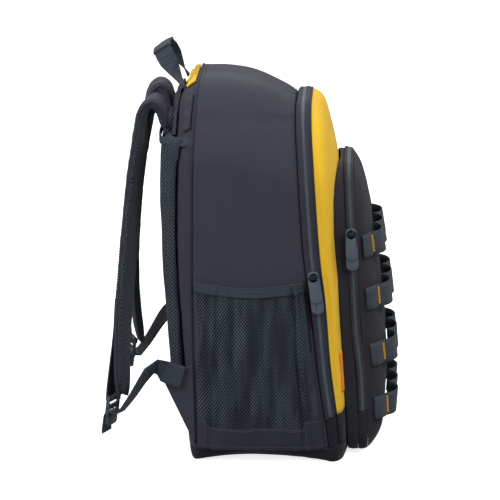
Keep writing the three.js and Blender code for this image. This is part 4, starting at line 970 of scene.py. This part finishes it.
finishPiece(fresh(tackVerts, tackFaces, "webbing_bartacks"), "yellow_cloth", material=yellowThread)
print("front pocket made")

# Side pockets: hem, net and elastic lie on one surface with the same folds
sidePocket = {"top": 226, "hemTop": 54, "elastic": 12, "bulge": 13, "out": 0.7, "back": 0.985, "front": 0.03,
              "flap": (0.085, 0.86), "flapEase": 0.004, "flapSeam": 0.012, "elasticSeams": (0.3, 0.72),
              "netThick": 0.8, "hemThick": 1.9, "elasticThick": 2.4}


def sidePoint(side, depth, z, out):
    half = packLines["width"] / 2 * ringAt(depth)["width"]
    sign = -1 if side == "left" else 1
    return Vector((sign * (half * seamAt(z / packLines["height"])["bow"] + out), bodyY(z, depth), z))


netFolds = {
    "held": 0.07, "gather": 0.5, "gathers": 11, "sway": 2.4, "fan": 4.6, "fans": 9,
    "pleat": 4.6, "pleatAt": (0.875, 0.93), "pleatWide": 0.016,
    "pleatBack": 4.2, "pleatBackAt": 0.035, "pleatBackWide": 0.02,
    "tuck": 2.6, "tuckAt": (0.06, 0.2), "tuckWide": 0.022, "tuckBack": 2.2, "tuckBackAt": 0.04,
}


# Folds of a side pocket: gathers under the elastic, a fan below them, a pleat in front and a tuck behind
def pocketFolds(share, z):
    facts = netFolds
    up = (z - packLines["base"]) / (sidePocket["top"] - packLines["base"])
    hold = min(share / facts["held"], (1 - share) / facts["held"], 1.0)
    sway = facts["sway"] * noise.noise(Vector((share * 6, 0.3, 1)))
    gather = facts["gather"] * math.sin(2 * math.pi * facts["gathers"] * share + sway) * up ** 3
    fan = facts["fan"] * noise.noise(Vector((share * facts["fans"] * (0.75 + 0.35 * up), up * 1.3, 4.7)))
    pleatPlace = share - mix(*facts["pleatAt"], up)
    pleat = facts["pleat"] * ridge(pleatPlace, facts["pleatWide"])
    pleat -= facts["pleatBack"] * ridge(pleatPlace + facts["pleatBackAt"], facts["pleatBackWide"])
    tuckPlace = share - mix(*facts["tuckAt"], up)
    tuck = facts["tuck"] * ridge(tuckPlace, facts["tuckWide"])
    tuck -= facts["tuckBack"] * ridge(tuckPlace - facts["tuckBackAt"], facts["tuckWide"])
    return hold * (gather + fan + pleat + tuck * (1 - 0.6 * up))


def sidePocketPoint(side, share, z, out):
    facts = sidePocket
    depth = mix(facts["back"], facts["front"], share)
    up = min(max((z - packLines["base"]) / (facts["top"] - packLines["base"]), 0), 1)
    belly = math.sin(math.pi * min(up * 0.82 + 0.04, 1)) ** 0.6
    across = 1 - abs(2 * share - 1) ** 3
    stand = facts["out"] + facts["bulge"] * across * belly
    fold = max(pocketFolds(share, z) * belly, 0.4 - stand)
    return sidePoint(side, depth, z, stand + out + fold)


def hemEdge(share):
    wave = 1.3 * math.sin(13 * share + 0.6) + 0.6 * math.sin(31 * share)
    low, high = sidePocket["flap"]
    ease = sidePocket["flapEase"]
    beside = 1 / (1 + math.exp((low - share) / ease)) / (1 + math.exp((share - high) / ease))
    return sidePocket["hemTop"] + mix(0.5, wave - 9.5, beside)


def hemFoot(share):
    return packLines["base"] * ringAt(mix(sidePocket["back"], sidePocket["front"], share))["foot"] + 1.2


def elasticEdge(share):
    return sidePocket["top"] - 5 * math.sin(math.pi * share)


def elasticFoot(share):
    return elasticEdge(share) - sidePocket["elastic"]


def pocketWall(side, low, high, thickness, rows, columns, shape):
    grid = []
    for up in spaced(0, 1, rows):
        row = []
        for share in spaced(0, 1, columns):
            z = mix(low(share), high(share), up)
            row.append(sidePocketPoint(side, share, z, thickness + shape(up, share)))
        grid.append(row)
    return grid


def elasticShape(up, share):
    pull = 0.07 * math.sin(2 * math.pi * 30 * share) * (1 - abs(2 * up - 1)) ** 0.5
    low, high = sidePocket["elasticSeams"]
    return pull - 0.35 * ridge(up - low, 0.06) - 0.35 * ridge(up - high, 0.06)


def hemShape(up, share):
    seams = sum(0.8 * ridge(share - place, 0.006) for place in sidePocket["flap"])
    return 0.9 * clothNoise(Vector((share * 150, up * 30, 2)), 16, 3) - seams


# The net: one diamond frame for each cell, front and back, with walls inside its hole
net = {"width": 168, "cellWide": 4.4, "cellTall": 5.0, "yarn": 0.3, "below": 14, "above": 1.5}


def netPiece(side):
    width, low = net["width"], sidePocket["hemTop"] - net["below"]
    high = sidePocket["top"] - sidePocket["elastic"] + net["above"]
    halfWide, halfTall = net["cellWide"] / 2, net["cellTall"] / 2
    columns, rows = int(width / halfWide), int((high - low) / halfTall)
    verts, faces, spots = [], [], {}

    def spot(u, v, layer):
        key = (round(u, 3), round(v, 3), layer)
        if key not in spots:
            share = min(max(u / width, 0.002), 0.998)
            z = max(low + v, hemEdge(share) - 5)
            spots[key] = len(verts)
            verts.append(sidePocketPoint(side, share, z, sidePocket["netThick"] * (1 - layer)) * mm)
        return spots[key]

    hole = 1 - net["yarn"]
    for i in range(1, columns):
        for j in range(1 + (i % 2 == 0), rows, 2):
            u, v = i * halfWide, j * halfTall
            corners = [(halfWide, 0), (0, halfTall), (-halfWide, 0), (0, -halfTall)]
            outer = [[spot(u + a, v + b, layer) for a, b in corners] for layer in (0, 1)]
            inner = [[spot(u + a * hole, v + b * hole, layer) for a, b in corners] for layer in (0, 1)]
            for k in range(4):
                n = (k + 1) % 4
                quads = [(outer[0][k], outer[0][n], inner[0][n], inner[0][k]),
                         (outer[1][n], outer[1][k], inner[1][k], inner[1][n]),
                         (inner[0][k], inner[0][n], inner[1][n], inner[1][k])]
                faces += [tuple(reversed(q)) for q in quads] if side == "left" else quads
    return fresh(verts, faces, f"side_net_{side}")


def pocketLine(side, places, out):
    return scaled([sidePocketPoint(side, share, z, out) for share, z in places])


hemThick, elasticThick = sidePocket["hemThick"], sidePocket["elasticThick"]
pocketShares, seamUps = spaced(0.01, 0.99, 120), spaced(0.05, 0.95, 30)
for side in ("left", "right"):
    inside = (-100 if side == "left" else 100, 40, 120)
    grid = pocketWall(side, hemFoot, hemEdge, hemThick, 14, 120, hemShape)
    hem = wallPiece(f"side_hem_cloth_{side}", grid, hemThick * 0.95, inside, [darkCloth])
    finishPiece(hem, "charcoal_cloth", f"side_pocket_hem_{side}", keepMap=True)
    finishPiece(netPiece(side), "air_mesh", f"side_pocket_mesh_{side}", material=shadedNetYarn)
    grid = pocketWall(side, elasticFoot, elasticEdge, elasticThick, 12, 260, elasticShape)
    elastic = wallPiece(f"side_elastic_webbing_{side}", grid, elasticThick * 0.95, inside, [elasticCloth])
    finishPiece(elastic, "slate_webbing", f"side_pocket_elastic_{side}", keepMap=True)
    lines = [pocketLine(side, [(s, mix(elasticFoot(s), elasticEdge(s), up)) for s in pocketShares], 2.4)
             for up in sidePocket["elasticSeams"]]
    stitches(f"side_elastic_stitches_{side}", lines, surfaceOf(elastic))
    lines = [pocketLine(side, [(s, hemEdge(s) - 2.2) for s in pocketShares], 2),
             pocketLine(side, [(s, hemFoot(s) + 4.5) for s in pocketShares], 2)]
    for s in sidePocket["flap"]:
        heights = [mix(hemFoot(s), hemEdge(s), up) for up in seamUps]
        for shift in (-sidePocket["flapSeam"], sidePocket["flapSeam"]):
            lines.append(pocketLine(side, [(s + shift, z) for z in heights], 2))
    stitches(f"side_hem_stitches_{side}", lines, surfaceOf(hem))
print("side pockets made")

# Shoulder straps and back pad: padded pieces, swelled by a short cloth simulation
strapLines = {"inset": 62, "spread": 88, "anchorY": 126, "reach": 60, "fall": 318, "top": 399.8, "width": 66,
              "billow": {"left": 0, "right": 9}}
strapRows = [
    {"fall": 0.0, "reach": 0.0, "spread": 0.0, "twist": 0, "width": 0.94},
    {"fall": -0.046, "reach": 0.08, "spread": 0.0, "twist": 0, "width": 0.96},
    {"fall": -0.079, "reach": 0.13, "spread": 0.005, "twist": 0, "width": 0.97},
    {"fall": -0.102, "reach": 0.24, "spread": 0.01, "twist": 2, "width": 0.97},
    {"fall": -0.09, "reach": 0.385, "spread": 0.02, "twist": 4, "width": 0.98},
    {"fall": -0.055, "reach": 0.47, "spread": 0.03, "twist": 6, "width": 1.0},
    {"fall": 0.0, "reach": 0.515, "spread": 0.06, "twist": 7, "width": 1.0},
    {"fall": 0.093, "reach": 0.58, "spread": 0.14, "twist": 8, "width": 1.0},
    {"fall": 0.2, "reach": 0.645, "spread": 0.24, "twist": 9, "width": 1.0},
    {"fall": 0.352, "reach": 0.71, "spread": 0.4, "twist": 10, "width": 1.0},
    {"fall": 0.505, "reach": 0.77, "spread": 0.56, "twist": 10, "width": 1.0},
    {"fall": 0.657, "reach": 0.83, "spread": 0.71, "twist": 9, "width": 0.99},
    {"fall": 0.831, "reach": 0.865, "spread": 0.85, "twist": 7, "width": 0.96},
    {"fall": 0.96, "reach": 0.85, "spread": 0.95, "twist": 7, "width": 0.84},
    {"fall": 1.0, "reach": 0.82, "spread": 1.0, "twist": 8, "width": 0.5},
]
strapShares = spaced(0, 1, len(strapRows) - 1)
strapAt = tableReader([{**row, "share": share} for row, share in zip(strapRows, strapShares)], "share")


def strapStation(side, share):
    row = strapAt(share)
    sign = -1 if side == "left" else 1
    billow = strapLines["billow"][side] * math.sin(math.pi * min(max(row["fall"], 0), 1))
    at = Vector((sign * (strapLines["inset"] + strapLines["spread"] * row["spread"]),
                 strapLines["anchorY"] + strapLines["reach"] * row["reach"] + billow,
                 strapLines["top"] - strapLines["fall"] * row["fall"]))
    twist = math.radians(row["twist"])
    return at, Vector((math.cos(twist), sign * math.sin(twist), 0)), strapLines["width"] * row["width"]


def strapFrame(side, share):
    at, across, width = strapStation(side, share)
    ahead, behind = strapStation(side, min(share + 0.005, 1))[0], strapStation(side, max(share - 0.005, 0))[0]
    return at, across, across.cross(ahead - behind).normalized(), width


padding = {"voxel": 0.0045, "pressure": 4.0, "frames": 20}
strapPadding = {"pin": 0.012, "cap": 0.0035, "folds": (0.02, 0.0008, (1, 1, 2.2), 31)}
backPadding = {"pin": 0.02, "cap": 0.005, "folds": (0.05, 0.001, (1, 1, 1), 35)}


def paddedCopy(node, name, pin):
    obj = copyOf(node, name, 0)
    remesh = obj.modifiers.new("remesh", "REMESH")
    remesh.mode = "VOXEL"
    remesh.voxel_size = padding["voxel"]
    bake(obj)
    start = [v.co.copy() for v in obj.data.vertices]
    tree, found = rimTree(copyOf(node, name + "_rim", 0), 30)
    group = obj.vertex_groups.new(name="held")
    for vertex in obj.data.vertices:
        near = tree.find(vertex.co)[2] if found else pin
        weight = max(1 - near / pin, 0)
        if weight > 0:
            group.add([vertex.index], weight, "REPLACE")
    cloth = obj.modifiers.new("cloth", "CLOTH")
    cloth.settings.use_pressure = True
    cloth.settings.uniform_pressure_force = padding["pressure"]
    cloth.settings.effector_weights.gravity = 0
    cloth.settings.vertex_group_mass = "held"
    cloth.settings.quality = 5
    cloth.collision_settings.use_collision = False
    cloth.point_cache.frame_end = padding["frames"]
    return obj, start


# Runs the simulation once for all pads, keeps each point within its cap, adds shallow dimples and smooths
def settlePads(pads):
    for number in range(1, padding["frames"] + 1):
        bpy.context.scene.frame_set(number)
    for obj, start, facts in pads:
        bake(obj)
        bpy.data.objects.remove(bpy.data.objects[obj.name + "_rim"], do_unlink=True)
        for vertex, place in zip(obj.data.vertices, start):
            move = vertex.co - place
            if move.length > facts["cap"]:
                vertex.co = place + move.normalized() * facts["cap"]
        dimple = folds(*facts["folds"])
        for vertex in obj.data.vertices:
            vertex.co += vertex.normal * dimple(vertex.co)
        obj.modifiers.new("relax", "SMOOTH").iterations = 4
        obj.modifiers.new("finer", "SUBSURF").levels = 1
        bake(obj)
    bpy.context.scene.frame_set(1)


pads = []
for node, name, facts in (("shoulder_strap_left", "strap_pad_left", strapPadding),
                          ("shoulder_strap_right", "strap_pad_right", strapPadding),
                          ("back_pad", "back_pad_cloth", backPadding)):
    pads.append((*paddedCopy(node, name, facts["pin"]), facts))
settlePads(pads)
print("pads settled")

strapEdges = {"rim": {"in": 0.8, "out": 1.5}, "seam": {"in": 6, "out": 8}, "mesh": -0.55}
for side, (obj, *_) in zip(("left", "right"), pads):
    frames = [strapFrame(side, share) for share in spaced(0, 1, 80)]
    tree = KDTree(len(frames))
    for index, found in enumerate(frames):
        tree.insert(found[0] * mm, index)
    tree.balance()
    wear(obj, charcoalCloth, spacerMesh)
    for face in obj.data.polygons:
        out = frames[tree.find(face.center)[1]][2]
        face.material_index = 1 if face.normal.dot(out) < strapEdges["mesh"] else 0
    finishPiece(obj, "charcoal_cloth", f"shoulder_strap_{side}")
    lines = []
    for edge in (-1, 1):
        rim, seam = [], []
        for at, across, out, width in frames[1:-1]:
            for path, line in ((rim, strapEdges["rim"]), (seam, strapEdges["seam"])):
                path.append((at + across * (edge * (width / 2 - line["in"])) + out * line["out"]) * mm)
        place = "inner" if (edge > 0) == (side == "left") else "outer"
        piping(f"strap_piping_{side}_{place}", rim, 0.0019)
        lines.append(seam)
    stitches(f"strap_stitches_{side}", lines, surfaceOf(obj))

# A soft root fills the space between each strap's anchor, the band and the yoke
strapRoot = {"foot": 384, "top": 423, "depths": (127.5, 118), "width": 58, "thick": 12,
             "rows": 10, "sides": 28}


def squared(value, power=0.4):
    return math.copysign(abs(value) ** power, value)


for side in ("left", "right"):
    centre = strapLines["inset"] * (-1 if side == "left" else 1)
    verts, count = [], strapRoot["sides"]
    for share in spaced(0, 1, strapRoot["rows"]):
        girth = max(1 - abs(2 * share - 1) ** 6, 0.02) ** 0.5
        y, z = mix(*strapRoot["depths"], share), mix(strapRoot["foot"], strapRoot["top"], share)
        for step in range(count):
            angle = 2 * math.pi * step / count
            x = centre + squared(math.cos(angle)) * girth * strapRoot["width"] / 2
            verts.append(Vector((x, y + squared(math.sin(angle)) * girth * strapRoot["thick"] / 2, z)) * mm)
    faces = ringFaces(0, strapRoot["rows"] + 1, count)
    finishPiece(fresh(verts, faces, f"strap_root_{side}"), "air_mesh", material=spacerMesh)

backPad = pads[2][0]
wear(backPad, spacerMesh)
finishPiece(backPad, "air_mesh", "back_pad")
print("pads dressed")

# Strap tapes, lower webbings, wings, locks and handle
wingCloth = {"levels": 3, "middle": bodyMiddle, "pin": 0.003, "folds": [(0.016, 0.0007, (1, 1, 1), 41)]}
gripCloth = {"levels": 3, "middle": (0, 0.1, 0.47), "pin": 0.002, "folds": [(0.012, 0.0006, (0.5, 1, 1), 42)]}


def plainPiece(node, name, slotName, material, levels=3):
    return finishPiece(copyOf(node, name, levels), slotName, node, material=material)


for side in ("left", "right"):
    plainPiece(f"strap_tape_{side}", f"strap_tape_webbing_{side}", "slate_webbing", slateWebbing)
    plainPiece(f"lower_webbing_{side}", f"lower_webbing_band_{side}", "slate_webbing", slateWebbing)
    sewnPiece(f"lower_wing_{side}", f"lower_wing_cloth_{side}", wingCloth, charcoalCloth)
    plainPiece(f"handle_leg_{side}", f"handle_leg_webbing_{side}", "slate_webbing", slateWebbing)
sewnPiece("handle_grip", "handle_grip_cloth", gripCloth, charcoalCloth)


# Hard pieces keep their shape, with rounded edges; the angles are in degrees
hardEdges = {"flat": 2, "rounded": 35, "sharp": 50}


def hardPiece(node, name, slotName, material, width):
    work = workOn(node)
    flat = math.radians(hardEdges["flat"])
    bmesh.ops.dissolve_limit(work, angle_limit=flat, verts=work.verts, edges=work.edges)
    obj = objectOf(work, name)
    rounded = obj.modifiers.new("rounded", "BEVEL")
    rounded.width = width
    rounded.segments = 3
    rounded.limit_method = "ANGLE"
    rounded.angle_limit = math.radians(hardEdges["rounded"])
    bake(obj)
    finishPiece(obj, slotName, node, material=material)
    sharpen(obj, hardEdges["sharp"])


for side in ("left", "right"):
    hardPiece(f"ladder_lock_{side}", f"ladder_lock_body_{side}", "grey_plastic", lockPlastic, 0.0009)
for chain in ("main", "pocket"):
    for level in ("upper", "lower"):
        slider, puller = f"{chain}_slider", f"{chain}_puller"
        hardPiece(f"{slider}_{level}", f"{slider}_body_{level}", "dark_metal", zipMetal, 0.0005)
        hardPiece(f"{puller}_{level}", f"{puller}_rubber_{level}", "grey_rubber", pullerRubber, 0.0006)
plainPiece("side_tag", "side_tag_tape", "orange_tape", orangeTape)
print("small parts made")

# Camera at the photograph's angle, soft studio light and a pale floor
studio = {"azimuth": -87.8, "elevation": 12, "distance": 4.0, "lens": 230.4, "target": (0, 0.02765, 0.2321)}


def backVector(azimuth, elevation):
    a, e = math.radians(azimuth), math.radians(elevation)
    return Vector((math.sin(a) * math.cos(e), -math.cos(a) * math.cos(e), math.sin(e)))


camera = addObject(bpy.data.cameras.new("camera"), "camera")
camera.data.lens = studio["lens"]
camera.data.sensor_width = 36
camera.data.clip_end = 60
back = backVector(studio["azimuth"], studio["elevation"])
camera.location = Vector(studio["target"]) + back * studio["distance"]
camera.rotation_euler = back.to_track_quat("Z", "Y").to_euler()
bpy.context.scene.camera = camera

lamps = [
    {"name": "key", "azimuth": -50, "elevation": 42, "distance": 2.6, "size": 1.6, "power": 32},
    {"name": "front", "azimuth": 8, "elevation": 35, "distance": 2.8, "size": 1.8, "power": 17},
    {"name": "rear", "azimuth": -140, "elevation": 25, "distance": 2.8, "size": 2.0, "power": 50},
    {"name": "far", "azimuth": 100, "elevation": 40, "distance": 2.8, "size": 2.0, "power": 26},
    {"name": "top", "azimuth": -90, "elevation": 86, "distance": 2.4, "size": 2.4, "power": 6},
]
for lamp in lamps:
    light = bpy.data.lights.new(lamp["name"], "AREA")
    light.shape = "DISK"
    light.size = lamp["size"]
    light.energy = lamp["power"]
    obj = addObject(light, lamp["name"])
    away = backVector(lamp["azimuth"], lamp["elevation"])
    obj.location = Vector(studio["target"]) + away * lamp["distance"]
    obj.rotation_euler = away.to_track_quat("Z", "Y").to_euler()

world = bpy.data.worlds.new("studio")
world.use_nodes = True
backdrop = world.node_tree.nodes["Background"]
backdrop.inputs["Color"].default_value = (1, 1, 1, 1)
backdrop.inputs["Strength"].default_value = 0.3
bpy.context.scene.world = world
bpy.context.scene.view_settings.view_transform = "Standard"

floorSize, floorZ = 30, cadBox[0][2] - 0.0004    # metres
floorCorners = [(x * floorSize, y * floorSize, floorZ) for x, y in ((-1, -1), (1, -1), (1, 1), (-1, 1))]
floor = fresh(floorCorners, [(0, 1, 2, 3)], "floor")
floorFinish = Finish("pale floor")
floorFinish.close((0.9, 0.9, 0.9, 1), 0.6, Emission_Color=(1, 1, 1, 1), Emission_Strength=0.8)
wear(floor, floorFinish.material)
floor.visible_diffuse = False
floor.visible_glossy = False
print("studio set")
